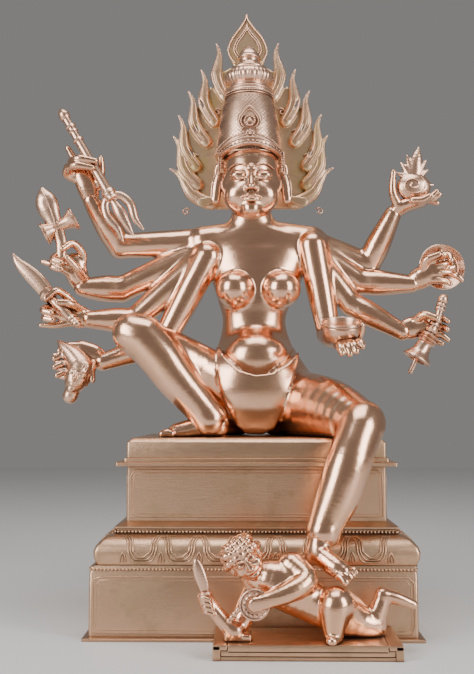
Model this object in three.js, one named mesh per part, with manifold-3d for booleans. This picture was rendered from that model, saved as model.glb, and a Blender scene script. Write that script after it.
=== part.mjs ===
// A seated eight-armed goddess in cast bronze, with a flame aureole behind her crown.
// She sits on a two-tier pedestal. Her left foot hangs over a fallen demon.
// The demon's plate slides into a keyed tray at the pedestal's foot.
// Millimetres, +Z up, the figure faces -Y, and the origin is the centre of the pedestal's underside.
import * as THREE from "three";
import { mergeVertices } from "three/addons/utils/BufferGeometryUtils.js";
import Module from "manifold-3d";

const wasm = await Module();
wasm.setup();

// Driving dimensions.
const castGap = 0.3; // between castings that rest on each other
const sliver = 0.6; // the joins leave facets thinner than this, which are merged into their neighbours
const lower = {
  halfX: 186.5,
  halfY: 150,
  footOut: 7,
  foot: 3.5,
  blockTop: 74,
  bandTop: 83.5,
  cushionTop: 115.5,
  rimTop: 123,
};
const upper = { halfX: 153, halfY: 118, top: 193.5, shiftX: 4 }; // set a little to the figure's left
const rimOut = 12.5; // the beaded rim stands this far out of the upper block
const seat = {
  halfX: 153.5,
  halfY: 118,
  flangeOut: 12,
  flange: 4.8,
  step: 3,
  stepTop: 203.5,
  bevel: 5.5,
  top: 226.5,
};
const tray = { left: -42, right: 156, front: -234, rail: 15, lip: 7, sheet: 4.5, top: 16.5, tongueTop: 10 };
const petal = { pitch: 43.5, halfWidth: 18.27, halfHeight: 13.5, relief: 1.6, atFront: 7, atSide: 5 };
const aureole = { y: 50, thick: 8, axisX: -1.5, axisLean: 0.03, foot: 600 }; // its axis leans to her right
const crown = { x: -4.5, y: 16, foot: 600, top: 761 };

const bronze = new THREE.Color(0xc98b5e);
const paleBronze = new THREE.Color(0xd09a6e);

// Solids

function signedVolume(position, index) {
  const [a, b, c] = [new THREE.Vector3(), new THREE.Vector3(), new THREE.Vector3()];
  let sum = 0;
  for (let i = 0; i < index.count; i += 3) {
    a.fromBufferAttribute(position, index.getX(i));
    b.fromBufferAttribute(position, index.getX(i + 1));
    c.fromBufferAttribute(position, index.getX(i + 2));
    sum += a.dot(b.cross(c)) / 6;
  }
  return sum;
}

// A closed three.js geometry as a solid, whichever way its faces were wound.
function solid(geometry) {
  const bare = geometry.clone();
  bare.deleteAttribute("normal");
  bare.deleteAttribute("uv");
  const merged = mergeVertices(bare, 1e-3);
  const kept = [];
  const source = merged.index;
  for (let i = 0; i < source.count; i += 3) {
    const t = [source.getX(i), source.getX(i + 1), source.getX(i + 2)];
    if (t[0] !== t[1] && t[1] !== t[2] && t[0] !== t[2]) kept.push(...t);
  }
  merged.setIndex(kept);
  if (signedVolume(merged.attributes.position, merged.index) < 0)
    for (let i = 0; i < kept.length; i += 3) [kept[i + 1], kept[i + 2]] = [kept[i + 2], kept[i + 1]];
  return new wasm.Manifold(
    new wasm.Mesh({
      numProp: 3,
      vertProperties: new Float32Array(merged.attributes.position.array),
      triVerts: new Uint32Array(kept),
    }),
  );
}

const join = (parts) => parts.flat(Infinity).reduce((a, b) => a.add(b));
const tidied = (body) => body.asOriginal().simplify(sliver);

function meshOf(name, body, colour) {
  const m = body.getMesh();
  const g = new THREE.BufferGeometry();
  g.setAttribute("position", new THREE.BufferAttribute(new Float32Array(m.vertProperties), 3));
  g.setIndex(new THREE.BufferAttribute(new Uint32Array(m.triVerts), 1));
  g.computeVertexNormals();
  const mesh = new THREE.Mesh(
    g,
    new THREE.MeshStandardMaterial({ color: colour, roughness: 0.28, metalness: 1 }),
  );
  mesh.name = name;
  return mesh;
}

// Forms

const between = (a, b, share) => a.map((x, i) => x + (b[i] - x) * share);

// A tapering limb through points [x, y, z, radius]. flat squeezes its section along the across direction.
// bands holds the places, from 0 to 1, of raised rings round it, such as bracelets and woven bands.
const bandOut = 2.4;
const bandHalf = 3;
function limb(points, { sides = 6, across = [0, 1, 0], flat = 1, bands = [] } = {}) {
  const curve = new THREE.CatmullRomCurve3(points.map((p) => new THREE.Vector3(p[0], p[1], p[2])));
  const spans = points.length - 1;
  const rows = [];
  for (let i = 0; i <= spans; i++) rows.push({ u: i / spans, out: 0 });
  const du = bandHalf / curve.getLength();
  for (const u of bands)
    rows.push({ u: u - du, out: 0 }, { u, out: bandOut }, { u: u + du, out: 0 });
  rows.sort((p, q) => p.u - q.u);
  const first = { ...rows[0], tip: -1 };
  const last = { ...rows[rows.length - 1], tip: 1 };
  const all = [first, ...rows, last];
  const radiusAt = (u) => {
    const span = Math.min(spans - 1, Math.floor(u * spans));
    return THREE.MathUtils.lerp(points[span][3], points[span + 1][3], u * spans - span);
  };
  const side = new THREE.Vector3(...across);
  const g = new THREE.SphereGeometry(1, sides, all.length - 1);
  const position = g.attributes.position;
  all.forEach(({ u, out, tip = 0 }, j) => {
    const centre = curve.getPoint(u);
    const tangent = curve.getTangent(u);
    const wide = side.clone().addScaledVector(tangent, -tangent.dot(side)).normalize();
    const other = new THREE.Vector3().crossVectors(tangent, wide);
    const r = tip ? 0 : radiusAt(u) + out;
    centre.addScaledVector(tangent, tip * 0.5 * radiusAt(u));
    for (let i = 0; i <= sides; i++) {
      const angle = (2 * Math.PI * ((i % sides) + 0.5)) / sides;
      const p = centre
        .clone()
        .addScaledVector(wide, Math.cos(angle) * r * flat)
        .addScaledVector(other, Math.sin(angle) * r);
      position.setXYZ(j * (sides + 1) + i, p.x, p.y, p.z);
    }
  });
  return solid(g);
}

function ball([x, y, z], [rx, ry, rz], { sides = 8, rows = 6, turn = [0, 0, 0] } = {}) {
  const g = new THREE.SphereGeometry(1, sides, rows);
  g.rotateX(Math.PI / 2);
  g.scale(rx, ry, rz);
  const m = new THREE.Matrix4().makeRotationFromEuler(new THREE.Euler(...turn));
  return solid(g.applyMatrix4(m).translate(x, y, z));
}

// A stack of upright ellipses [z, centre x, centre y, half width, half depth].
function ellipseStack(levels, sides = 12) {
  const g = new THREE.CylinderGeometry(1, 1, levels.length - 1, sides, levels.length - 1);
  g.rotateX(Math.PI / 2);
  const p = g.attributes.position;
  for (let i = 0; i < p.count; i++) {
    const [z, cx, cy, rx, ry] = levels[Math.round(p.getZ(i) + (levels.length - 1) / 2)];
    p.setXYZ(i, cx + p.getX(i) * rx, cy + p.getY(i) * ry, z);
  }
  return solid(g);
}

// A stack of rectangles [z, half X, half Y], as a moulded block has.
function rectangleStack(levels) {
  const g = new THREE.BoxGeometry(2, 2, levels.length - 1, 1, 1, levels.length - 1);
  const p = g.attributes.position;
  for (let i = 0; i < p.count; i++) {
    const [z, halfX, halfY] = levels[Math.round(p.getZ(i) + (levels.length - 1) / 2)];
    p.setXYZ(i, p.getX(i) * halfX, p.getY(i) * halfY, z);
  }
  return solid(g);
}

function box(low, high) {
  const size = high.map((x, i) => x - low[i]);
  return solid(new THREE.BoxGeometry(...size).translate(...between(low, high, 0.5)));
}

// A form turned about the axis that runs from one point towards another.
function turned(profile, from, to, sides = 8) {
  const a = new THREE.Vector3(...from);
  const along = new THREE.Vector3(...to).sub(a);
  const g = new THREE.LatheGeometry(profile.map(([r, h]) => new THREE.Vector2(r, h)), sides);
  const up = new THREE.Vector3(0, 1, 0);
  const turn = new THREE.Quaternion().setFromUnitVectors(up, along.clone().normalize());
  return solid(g.applyQuaternion(turn).translate(a.x, a.y, a.z));
}

// A flat outline [[x, z], ...] facing the front, from y to y + thick.
function plate(outline, y, thick) {
  const shape = new THREE.Shape(outline.map(([x, z]) => new THREE.Vector2(x, z)));
  const g = new THREE.ExtrudeGeometry(shape, { depth: thick, bevelEnabled: false });
  return solid(g.rotateX(Math.PI / 2).translate(0, y + thick, 0));
}

// The plate that follows a centre line with the given full widths, such as a flame's tongue.
function tongue(line, widths, y, thick) {
  const curve = new THREE.SplineCurve(line.map(([x, z]) => new THREE.Vector2(x, z)));
  const sides = [[], []];
  const samples = line.length - 1;
  for (let i = 0; i <= samples; i++) {
    const u = i / samples;
    const at = Math.min(widths.length - 2, Math.floor(u * (widths.length - 1)));
    const half = THREE.MathUtils.lerp(widths[at], widths[at + 1], u * (widths.length - 1) - at) / 2;
    const c = curve.getPoint(u);
    const t = curve.getTangent(u);
    sides[0].push([c.x - t.y * half, c.y + t.x * half]);
    sides[1].unshift([c.x + t.y * half, c.y - t.x * half]);
  }
  return plate([...sides[0], ...sides[1]], y, thick);
}

// A hand: its palm's path from the wrist, flattened along the palm's facing, and the paths of its fingers.
function hand(palm, facing, fingers) {
  return [limb(palm, { across: facing, flat: 0.6 }), fingers.map((path) => limb(path, { sides: 4 }))];
}

// Pedestal

// The bulging side of the lotus cushion, as [z, how far it stands out of the upper block].
const cushionProfile = [
  [lower.bandTop, 30],
  [88, 32],
  [98, 33.5],
  [106, 31],
  [112, 24],
  [lower.cushionTop, 15],
];

function cushionBody(extra) {
  const { halfX, halfY } = upper;
  return rectangleStack(cushionProfile.map(([z, out]) => [z, halfX + out + extra, halfY + out + extra]));
}

// Petals of the lotus band: broad scallops that hang from its top edge, raised a little out of the cushion.
function petals() {
  const middle = (lower.bandTop + lower.cushionTop) / 2 + 1;
  const scallop = [];
  const corners = 8;
  for (let i = 0; i < corners; i++) {
    const a = (2 * Math.PI * (i + 0.5)) / corners;
    scallop.push([Math.cos(a) * petal.halfWidth, middle + Math.sin(a) * petal.halfHeight]);
  }
  const raised = cushionBody(petal.relief);
  const beyond = 45; // each cutter reaches this far past the upper block
  const deep = upper.halfY + beyond;
  const wide = upper.halfX + beyond;
  const cutters = [];
  for (let i = 0; i < petal.atFront; i++) {
    const x = (i - (petal.atFront - 1) / 2) * petal.pitch;
    const outline = scallop.map(([px, pz]) => [px + x, pz]);
    cutters.push(plate(outline, -deep, 2 * deep));
  }
  for (let i = 0; i < petal.atSide; i++) {
    const y = (i - (petal.atSide - 1) / 2) * petal.pitch;
    cutters.push(plate(scallop, -wide, 2 * wide).rotate([0, 0, 90]).translate([0, y, 0]));
  }
  return cutters.map((c) => c.intersect(raised));
}

function trayFrame() {
  const { left, right, front, rail, lip, sheet, top, tongueTop } = tray;
  const back = -lower.halfY + 1;
  const parts = [box([left, front, 0], [right, back, sheet])];
  for (const [edge, inward] of [[left, 1], [right, -1]]) {
    const wall = [edge, edge + inward * (rail - lip)].sort((a, b) => a - b);
    const overhang = [edge, edge + inward * rail].sort((a, b) => a - b);
    parts.push(box([wall[0], front, 0], [wall[1], back, top]));
    parts.push(box([overhang[0], front, tongueTop], [overhang[1], back, top]));
  }
  return parts;
}

function pedestal() {
  const { footOut, foot, blockTop, bandTop, cushionTop, rimTop } = lower;
  const block = [lower.halfX, lower.halfY];
  const plinth = [lower.halfX + footOut, lower.halfY + footOut];
  const moulding = 1.5;
  const over = 0.5; // how far a form goes into its neighbour
  const grow = (by) => [upper.halfX + by, upper.halfY + by];
  return tidied(join([
    box([-plinth[0], -plinth[1], 0], [...plinth, foot]),
    rectangleStack([
      [0, ...block],
      [blockTop, ...block],
      [blockTop + 2, block[0] + moulding, block[1] + moulding],
      [blockTop + 4, ...block],
      [bandTop + over, ...block],
    ]),
    cushionBody(0),
    petals(),
    rectangleStack([
      [bandTop, ...grow(0)],
      [cushionTop, ...grow(rimOut - 2)],
      [rimTop - 3, ...grow(rimOut)],
      [rimTop, ...grow(rimOut)],
      [rimTop + 2.5, ...grow(8)],
      [rimTop + 6, ...grow(1)],
      [upper.top, ...grow(0)],
    ]).translate([upper.shiftX, 0, 0]),
    trayFrame(),
  ]));
}

// The seat slab, or with grow the room that the figure on it leaves free.
function seatSlab(grow = 0) {
  const { halfX, halfY, flangeOut, flange, step, stepTop, bevel, top } = seat;
  const bottom = upper.top + castGap;
  const level = (z, out) => [z, halfX + out + grow, halfY + out + grow];
  return rectangleStack([
    level(bottom - grow, flangeOut),
    level(bottom + flange + grow, flangeOut),
    level(bottom + flange + grow + 0.2, step),
    level(stepTop, step * 0.4),
    level(stepTop + 1, 0),
    level(top - bevel, 0),
    level(top + grow, -bevel),
  ]).translate([upper.shiftX, 0, 0]);
}

// Goddess

// Shoulders, elbows and wrists from the upper arm pair to the lower. The rear arms fan out behind the others.
const rightArms = [
  { shoulder: [-62, 22, 488], elbow: [-181, 26, 484], wrist: [-218, 5, 542], fore: 17 },
  { shoulder: [-60, 20, 478], elbow: [-178, 16, 423], wrist: [-228, 0, 423], fore: 17.5 },
  { shoulder: [-60, 12, 470], elbow: [-158, 2, 379], wrist: [-215, -13, 379], fore: 16 },
  { shoulder: [-60, 2, 464], elbow: [-118, -6, 350], wrist: [-195, -26, 322], fore: 15.5 },
];
const leftArms = [
  { shoulder: [76, 22, 486], elbow: [157, 26, 457], wrist: [189, 7, 523], fore: 16.5 },
  { shoulder: [78, 18, 478], elbow: [147, 18, 432], wrist: [212, 1, 427], fore: 16.5 },
  { shoulder: [78, 12, 470], elbow: [131, 4, 401], wrist: [196, -13, 362], fore: 15.5 },
  { shoulder: [80, 0, 478], elbow: [100, -6, 360], wrist: [112, -72, 346], fore: 15 },
];

function arm({ shoulder, elbow, wrist, fore }) {
  const forward = Math.abs(wrist[1] - elbow[1]) > 50;
  const across = forward ? [0, 0, 1] : [0, 1, 0];
  const upperArm = [[...shoulder, 20], [...between(shoulder, elbow, 0.5), 18], [...elbow, fore]];
  const forearm = [[...elbow, fore], [...between(elbow, wrist, 0.45), fore], [...wrist, 11.5]];
  return [limb(upperArm, { bands: [0.78] }), limb(forearm, { across, bands: [0.92] })];
}

const torsoLevels = [
  [224, 5, 14, 62, 56],
  [250, 5, 14, 84, 66],
  [290, 5, 12, 85, 61],
  [345, 3, 12, 51, 39],
  [378, 2, 13, 43, 31],
  [405, 3, 14, 50, 35],
  [450, 7, 18, 66, 38],
  [478, 8, 18, 76, 32],
  [498, 4, 14, 56, 27],
  [508, 0, 11, 36, 25],
  [545, -1, 6, 26, 24],
];

const collarProfile = [[26, 0], [74, -14], [74, -18], [60, -16], [26, -8], [26, 0]];

function torso() {
  return [
    ellipseStack(torsoLevels),
    ball([5, -24, 326], [38, 30, 30]), // belly
    ball([-23, -18, 418], [25, 24, 23]), // breasts
    ball([38, -18, 418], [25, 24, 23]),
    ellipseStack([
      [410, 6, 10, 63, 45],
      [424, 7, 11, 66, 47],
    ]), // breast band
    turned([[0, 0], [11, 0], [11, 12], [0, 12]], [14, -47, 408], [14, -35, 408]), // its round pendant
    turned(collarProfile, [0, 5, 516], [0, -12, 560], 14),
  ];
}

// Wide shoulder flaps that stand out over the arms.
function shoulderFlaps() {
  return [
    tongue([[-134, 524], [-118, 520], [-98, 521], [-70, 516]], [11, 7, 12, 16], 10, 22),
    tongue([[114, 509], [104, 513], [88, 516], [62, 516]], [11, 7, 12, 16], 10, 22),
  ];
}

function head() {
  return [
    ball([-2, 2, 566], [38, 40, 54], { sides: 11, rows: 7 }),
    limb([[0, -33, 566, 4], [0, -41, 548, 6]]), // nose
    ball([0, -31, 533], [14, 9, 8], { sides: 8, rows: 5 }), // lips and chin
    [-1, 1].map((side) => [
      // An ear, its disc earring, and a small flower with the bridge that joins it to the aureole.
      limb([[side * 40 - 2, 4, 590, 8], [side * 41 - 2, 3, 562, 8], [side * 45 - 2, 2, 540, 7]]),
      turned([[0, 0], [12.5, 0], [12.5, 9], [0, 9]], [side * 50 - 2, -6, 534], [side * 50 - 2, 4, 534]),
      ball([side * 66 - 3, 16, 531], [9, 9, 9], { sides: 6, rows: 4 }),
      limb([[side * 60 - 3, 16, 532, 7], [side * 66 - 3, 44, 545, 7]], { across: [0, 0, 1] }),
    ]),
  ];
}

const crownProfile = [
  [0, 0], [41, 0], [43, 8], [42, 28], [38, 60], [32, 88], [34, 94], [27, 101], [33, 112], [32, 121],
  [23, 127], [14, 132], [14, 146], [9, 156], [0, 161],
];

function crownAndBand() {
  return [
    turned(crownProfile, [crown.x, crown.y, crown.foot], [crown.x, crown.y, crown.top], 12),
    ellipseStack([
      [606, -4, 7, 43, 43],
      [622, -4, 9, 45, 45],
    ]),
    ball([-4, -26, 652], [13, 6, 16], { sides: 10, rows: 6 }),
  ];
}

// Tips of the flames on the figure's right from the lowest up, and how far each leans out, in degrees.
const flameTips = [
  { tip: [-117, 599], lean: 30 },
  { tip: [-112, 646], lean: 7 },
  { tip: [-105, 676], lean: 0 },
  { tip: [-91, 711], lean: 0 },
  { tip: [-73, 742], lean: -5 },
  { tip: [-51, 780], lean: -10 },
];
// A flame's two edges seen from its tip. The outer edge climbs to the tip and the inner one falls to the next.
const flameOuter = [[1, -43], [5, -34], [5, -24], [3, -12]];
const flameInner = [[5, -7], [12, -11]];
const apex = 826;
const leaf = [[-20, 742], [-34, 756], [-37, 772], [-31, 788], [-20, 803], [-11, 817]];

function flameAureole() {
  const { axisX, axisLean, foot, y, thick } = aureole;
  const outline = [[-68, 541]];
  for (const { tip, lean } of flameTips) {
    const a = THREE.MathUtils.degToRad(lean);
    const [c, s] = [Math.cos(a), Math.sin(a)];
    const place = ([x, z]) => [tip[0] + x * c - z * s, tip[1] + x * s + z * c];
    outline.push(...flameOuter.map(place), tip, ...flameInner.map(place));
  }
  outline.push(...leaf);
  const axisAt = (z) => axisX - axisLean * (z - foot);
  const mirrored = outline.map(([x, z]) => [2 * axisAt(z) - x, z]).reverse();
  return [
    plate([...outline, [axisAt(apex), apex], ...mirrored], y, thick),
    // The casting's bridges between the aureole, the crown and the nape.
    box([-24, 30, 640], [14, y + 1, 690]),
    box([-30, 25, 545], [22, y + 1, 590]),
  ];
}

// The raised right leg rests its foot on the seat. The left leg hangs over the seat's edge.
const rightLeg = {
  hip: [-28, 0, 282, 42],
  knee: [-149, -72, 355, 25],
  shin: [
    [-136, -72, 350, 28],
    [-115, -72, 326, 27.5],
    [-96, -72, 300, 25],
    [-66, -72, 265, 20],
    [-55, -72, 250, 22],
  ],
};
const leftLeg = {
  hip: [50, -6, 272, 44],
  knee: [128, -130, 245, 27],
  shin: [
    [124, -140, 236, 26],
    [109, -156, 200, 25],
    [96, -160, 163, 26],
    [82, -166, 133, 19],
    [75, -173, 110, 15],
  ],
};

function foot(heel, toe, width, across) {
  const arch = between(heel, toe, 0.5);
  arch[2] -= 1;
  return limb([[...heel, width], [...arch, width * 0.95], [...toe, width * 0.62]], { across, flat: 1.15 });
}

function legs() {
  const kneeCap = ([x, y, z, r]) => ball([x, y, z], [r, r, r], { sides: 8, rows: 6 });
  return [rightLeg, leftLeg].map(({ hip, knee, shin }) => [
    limb([hip, between(hip, knee, 0.5), knee], { sides: 9, across: [1, 0, 0] }),
    kneeCap(knee),
    limb(shin, { sides: 8, bands: [0.22, 0.44, 0.66, 0.92] }),
  ]).concat([
    foot([-42, -70, 240], [-106, -76, 233.5], 13.5, [0, 1, 0]),
    limb([[-55, -72, 252, 19], [-50, -71, 238, 14]]),
    foot([71, -177, 100], [99, -203, 86], 11, [1, 0, 0]),
  ]);
}

// The apron hangs from the belt over the lap to the seat.
function apron() {
  const outline = [
    [-46, 345], [-48, 322], [-36, 272], [-20, 240], [-8, 229], [12, 228], [30, 240], [42, 275],
    [60, 322], [62, 338], [44, 318], [24, 306], [4, 303], [-18, 310], [-36, 328],
  ];
  return plate(outline, -90, 75).intersect(ball([4, -6, 288], [86, 68, 74], { sides: 14, rows: 10 }));
}

const trident = { top: [-252, -16, 653], collar: [-190, -16, 546], neck: 6.5, prongs: 62 };

// The trident points down and inwards, with two hooked prongs and a flat middle blade.
function tridentForm() {
  const from = new THREE.Vector3(...trident.collar);
  const along = from.clone().sub(new THREE.Vector3(...trident.top)).normalize();
  const across = new THREE.Vector3(0, 1, 0).cross(along);
  const spot = (share, out, r) => {
    const place = from.clone().addScaledVector(along, share * trident.prongs);
    return [...place.addScaledVector(across, out), r];
  };
  const outer = (side) => [
    spot(0, 0, 5),
    spot(0.18, side * 15, 5.5),
    spot(0.55, side * 16, 5.5),
    spot(0.98, side * 15, 2),
  ];
  return [
    limb([[...trident.top, 5], [...trident.collar, trident.neck]], { bands: [0.2] }),
    ball(trident.top, [7.5, 7.5, 7.5]),
    ball(trident.collar, [9.5, 8, 8]),
    limb(outer(1), { sides: 5 }),
    limb(outer(-1), { sides: 5 }),
    limb([spot(0, 0, 5), spot(0.45, 0, 8), spot(1, 0, 1.5)], { sides: 5 }),
  ];
}

// An hourglass drum across the flat, hooded handle that she holds it by.
function drumForm() {
  const waisted = [[0, 0], [15, 0], [15, 4], [8, 15], [8, 26], [15, 37], [15, 41], [0, 41]];
  const hood = [
    [-281, -14, 556, 2],
    [-274, -14, 534, 15],
    [-264, -14, 512, 11],
    [-252, -14, 484, 7.5],
    [-253, -14, 462, 6.5],
  ];
  return [turned(waisted, [-277, -16, 492], [-236, -12, 515]), limb(hood, { flat: 0.55 })];
}

function daggerForm() {
  return [
    tongue([[-317, 466], [-306, 452], [-292, 440], [-269, 411]], [1.5, 13, 20, 21], -26, 9),
    turned([[0, 0], [13, 0], [13, 4], [8, 9], [0, 9]], [-270, -22, 413], [-263, -23, 405]),
    limb([[-268, -23, 411, 6.5], [-246, -30, 389, 6], [-227, -30, 370, 4]], { bands: [0.85] }),
  ];
}

function severedHead() {
  return [
    ball([-223, -46, 303], [17, 17, 22], { turn: [0, 0.35, 0] }),
    turned([[0, 0], [10.5, 0], [10.5, 18], [0, 18]], [-207, -44, 280], [-216, -44, 297]),
    limb([[-220, -38, 314, 18], [-236, -34, 332, 13], [-250, -32, 347, 2.5]], { flat: 0.85 }),
  ];
}

// Fire in the palm: a round body with a crown of spikes.
function fireForm() {
  const spikes = [[208, 602], [199, 592], [234, 595], [236, 582], [243, 560], [191, 575]];
  const heart = [217, 560];
  const body = [[0, 0], [15, 2], [24, 14], [24, 27], [14, 42], [7, 56], [0, 74]];
  return [
    turned(body, [215, 0, 540], [224, 0, 613], 9),
    spikes.map((tip) => tongue([tip, between(tip, heart, 0.5), heart], [1, 13, 16], -4, 8)),
  ];
}

// A bell hung mouth down from its handle, with its clapper's end below the mouth.
function bellForm() {
  const waist = [[0, 0], [11, 0], [12, 6], [13, 9], [10.5, 11], [11, 20]];
  const mouth = [[13, 26], [19, 33], [18.5, 35], [0, 33]];
  return [
    limb([[247, -24, 402, 5], [240, -24, 378, 4.5], [226, -24, 352, 7]], { bands: [0.2] }),
    ball([247.5, -24, 403], [7, 7, 7]),
    turned([...waist, ...mouth], [229, -24, 356], [211, -24, 325], 10),
    limb([[212, -24, 328, 3.5], [203, -24, 308, 4]], { sides: 5 }),
  ];
}

const cup = { foot: [109, -86, 342], axis: [0, -0.35, 1], radius: 24, wall: 2.5, high: 27 };

function cupForm() {
  const { foot: from, axis, radius, wall, high } = cup;
  const to = from.map((x, i) => x + axis[i]);
  const outside = [[0, 0], [12, 1], [20, 9], [radius, high]];
  const inside = [[radius - wall, high], [20 - wall, 10], [10, 4], [0, 3.5], [0, 0]];
  return turned([...outside, ...inside], from, to, 12);
}

function hands() {
  const front = [0, 1, 0];
  const up = [0, 0, 1];
  return [
    hand([[-218, 4, 541, 10], [-222, 2, 560, 14], [-228, -2, 580, 15]], front, [
      [[-238, 0, 574, 6], [-246, -12, 583, 5.5], [-214, -25, 590, 4.5]],
      [[-228, -2, 578, 6], [-241, -8, 598, 4.5], [-248, -10, 610, 3]],
    ]),
    hand([[-227, 0, 424, 10], [-234, -2, 440, 15], [-238, -4, 456, 14]], front, [
      [[-226, 0, 452, 6], [-234, -10, 478, 5], [-254, -22, 470, 4.5]],
      [[-242, -6, 442, 8], [-264, -16, 454, 6], [-278, -14, 456, 3.5]],
    ]),
    hand([[-213, -13, 379, 10], [-230, -15, 383, 14], [-246, -16, 388, 13]], front, [
      [[-234, -14, 394, 6], [-248, -20, 410, 5], [-264, -34, 402, 4.5]],
      [[-250, -18, 384, 7], [-266, -24, 384, 6], [-262, -34, 390, 4.5]],
      [[-240, -18, 374, 6], [-262, -20, 371, 5], [-277, -20, 371, 3]],
    ]),
    hand([[-194, -26, 323, 10], [-208, -29, 331, 13], [-224, -31, 336, 12]], front, [
      [[-222, -32, 334, 8], [-240, -36, 326, 7], [-254, -40, 328, 4]],
      [[-222, -34, 318, 8], [-238, -38, 310, 7], [-250, -42, 304, 4]],
    ]),
    hand([[188, 8, 521, 10], [200, 5, 533, 14], [222, 3, 540, 14]], up, [
      [[218, 2, 541, 9], [236, 0, 540, 6.5], [247, 0, 537, 3.5]],
      [[192, 0, 534, 6.5], [186, -2, 554, 5.5], [188, -4, 577, 3.5]],
    ]),
    hand([[210, 1, 427, 10], [224, -4, 435, 14], [238, -8, 443, 13]], front, [
      [[236, -10, 446, 9], [256, -18, 446, 7], [246, -27, 436, 5]],
      [[222, -6, 441, 6], [229, -14, 458, 5.5], [243, -18, 463, 4.5]],
    ]),
    hand([[194, -13, 362, 10], [208, -15, 368, 14], [224, -16, 369, 13]], front, [
      [[212, -16, 377, 6], [224, -24, 382, 5], [238, -33, 377, 4.5]],
      [[224, -14, 369, 8], [254, -18, 375, 3.5]],
      [[222, -14, 361, 8], [254, -18, 351, 3.5]],
    ]),
    hand([[112, -70, 346, 10], [113, -86, 342, 14], [115, -104, 340, 13]], up, [
      [[114, -102, 341, 10], [117, -116, 336, 8], [118, -123, 328, 4.5]],
      [[120, -84, 344, 6], [131, -94, 352, 5], [134, -99, 363, 3.5]],
    ]),
  ];
}

function shieldForm() {
  const bowl = [[0, 0], [30, 6], [33, 4], [33, 0], [30, 1], [0, -5], [0, 0]];
  return turned(bowl, [251, 10, 449], [255, -20, 452], 12);
}

function goddess() {
  const held = [tridentForm(), drumForm(), daggerForm(), severedHead(), fireForm(), bellForm(), cupForm()];
  const body = join([
    [torso(), shoulderFlaps(), head(), crownAndBand(), flameAureole(), legs(), apron()],
    [held, hands(), shieldForm(), rightArms.map(arm), leftArms.map(arm)],
  ]);
  // The end of her skirt's hem hangs over the seat's front edge.
  const hemPath = [[98, -92, 240, 6], [92, -116, 231, 5], [94, -124, 220, 4.5], [92, -124, 210, 3]];
  const hem = limb(hemPath, { flat: 0.8 });
  return tidied(body.add(hem)).subtract(seatSlab(castGap));
}

// Demon

const slide = 0.4; // running clearance of the demon's plate in its tray
const plateBack = -lower.halfY - 7.5;

function demonPlate() {
  const { left, right, front, rail, lip, sheet, top, tongueTop } = tray;
  const inner = rail + slide;
  const tongued = rail - lip + slide;
  return [
    box([left + inner, front + 1, sheet + slide], [right - inner, plateBack, top]),
    box([left + tongued, front + 1, sheet + slide], [right - tongued, plateBack, tongueTop - slide]),
  ];
}

function demonBody() {
  const sideways = [1, 0, 0];
  const trunk = [[3, -197, 82, 17], [32, -198, 72, 27], [66, -196, 50, 22], [98, -193, 40, 25]];
  const nearLeg = [[98, -194, 40, 20], [88, -210, 52, 21], [86, -216, 42, 17], [86, -221, 22, 10]];
  return [
    limb(trunk, { sides: 10 }),
    ball([-9, -206, 100], [19, 19, 25], { turn: [0.1, -0.62, 0], sides: 10, rows: 8 }), // head
    ball([-12, -198, 107], [25, 17, 22], { turn: [0, -0.62, 0] }), // curls
    // The arm with the shield, and the shield.
    limb([[42, -200, 92, 16], [55, -214, 80, 13], [38, -226, 70, 12], [4, -232, 58, 9]]),
    turned([[0, 0], [15, 0], [16, 3], [13, 6], [0, 7]], [2, -230, 57], [1, -238, 58], 14),
    // The arm with the sword, and the sword.
    limb([[8, -192, 72, 13], [-10, -205, 40, 12], [-17, -214, 27, 11]]),
    limb([[-17, -214, 27, 11], [-32, -216, 40, 8.5], [-44, -216, 54, 9], [-50, -217, 64, 7]]),
    tongue([[-61, 101], [-57, 90], [-51, 80], [-50, 62]], [1, 8, 9, 9], -220, 6),
    // The near leg, bent up, and its foot.
    limb(nearLeg, { across: sideways }),
    limb([[86, -219, 20, 9], [84, -226, 20, 9], [83, -230, 20, 7]], { across: sideways, flat: 1.4 }),
    // The far leg, folded back, and its foot.
    limb([[100, -192, 38, 21], [120, -190, 27, 16], [130, -190, 26, 13]]),
    limb([[128, -190, 26, 12], [136, -190, 44, 11], [142, -190, 60, 8]]),
    limb([[140, -190, 62, 8], [158, -190, 55, 6.5], [178, -190, 47, 4]], { flat: 1.3 }),
    box([-32, -224, tray.top - 1], [0, -196, 24]), // the elbow's rest
  ];
}

// The room kept free for the goddess's left foot and shin, and above the tray's rails on both sides.
function demonClearance() {
  const { left, right, front, rail, top } = tray;
  const aroundFoot = [[74, -176, 116, 18], [71, -177, 100, 13], [85, -190, 92, 13], [99, -203, 86, 9.5]];
  const beyond = 50;
  const overRails = [[left - beyond, left + rail + slide], [right - rail - slide, right + beyond]];
  return [
    limb(aroundFoot, { across: [1, 0, 0], flat: 1.2 }),
    limb([[78, -176, 150, 23], [76, -176, 112, 20], [76, -176, 106, 20]]),
    overRails.map(([from, to]) => box([from, front - 20, 0], [to, plateBack + 20, top + castGap])),
  ];
}

function demon() {
  return join(demonPlate()).add(tidied(join(demonBody())).subtract(join(demonClearance())));
}

const statue = new THREE.Group();
statue.add(meshOf("pedestal", pedestal(), paleBronze));
statue.add(meshOf("seat_slab", seatSlab(), paleBronze));
statue.add(meshOf("goddess", goddess(), bronze));
statue.add(meshOf("demon", demon(), bronze));

export default statue;
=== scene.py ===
import math

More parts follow.
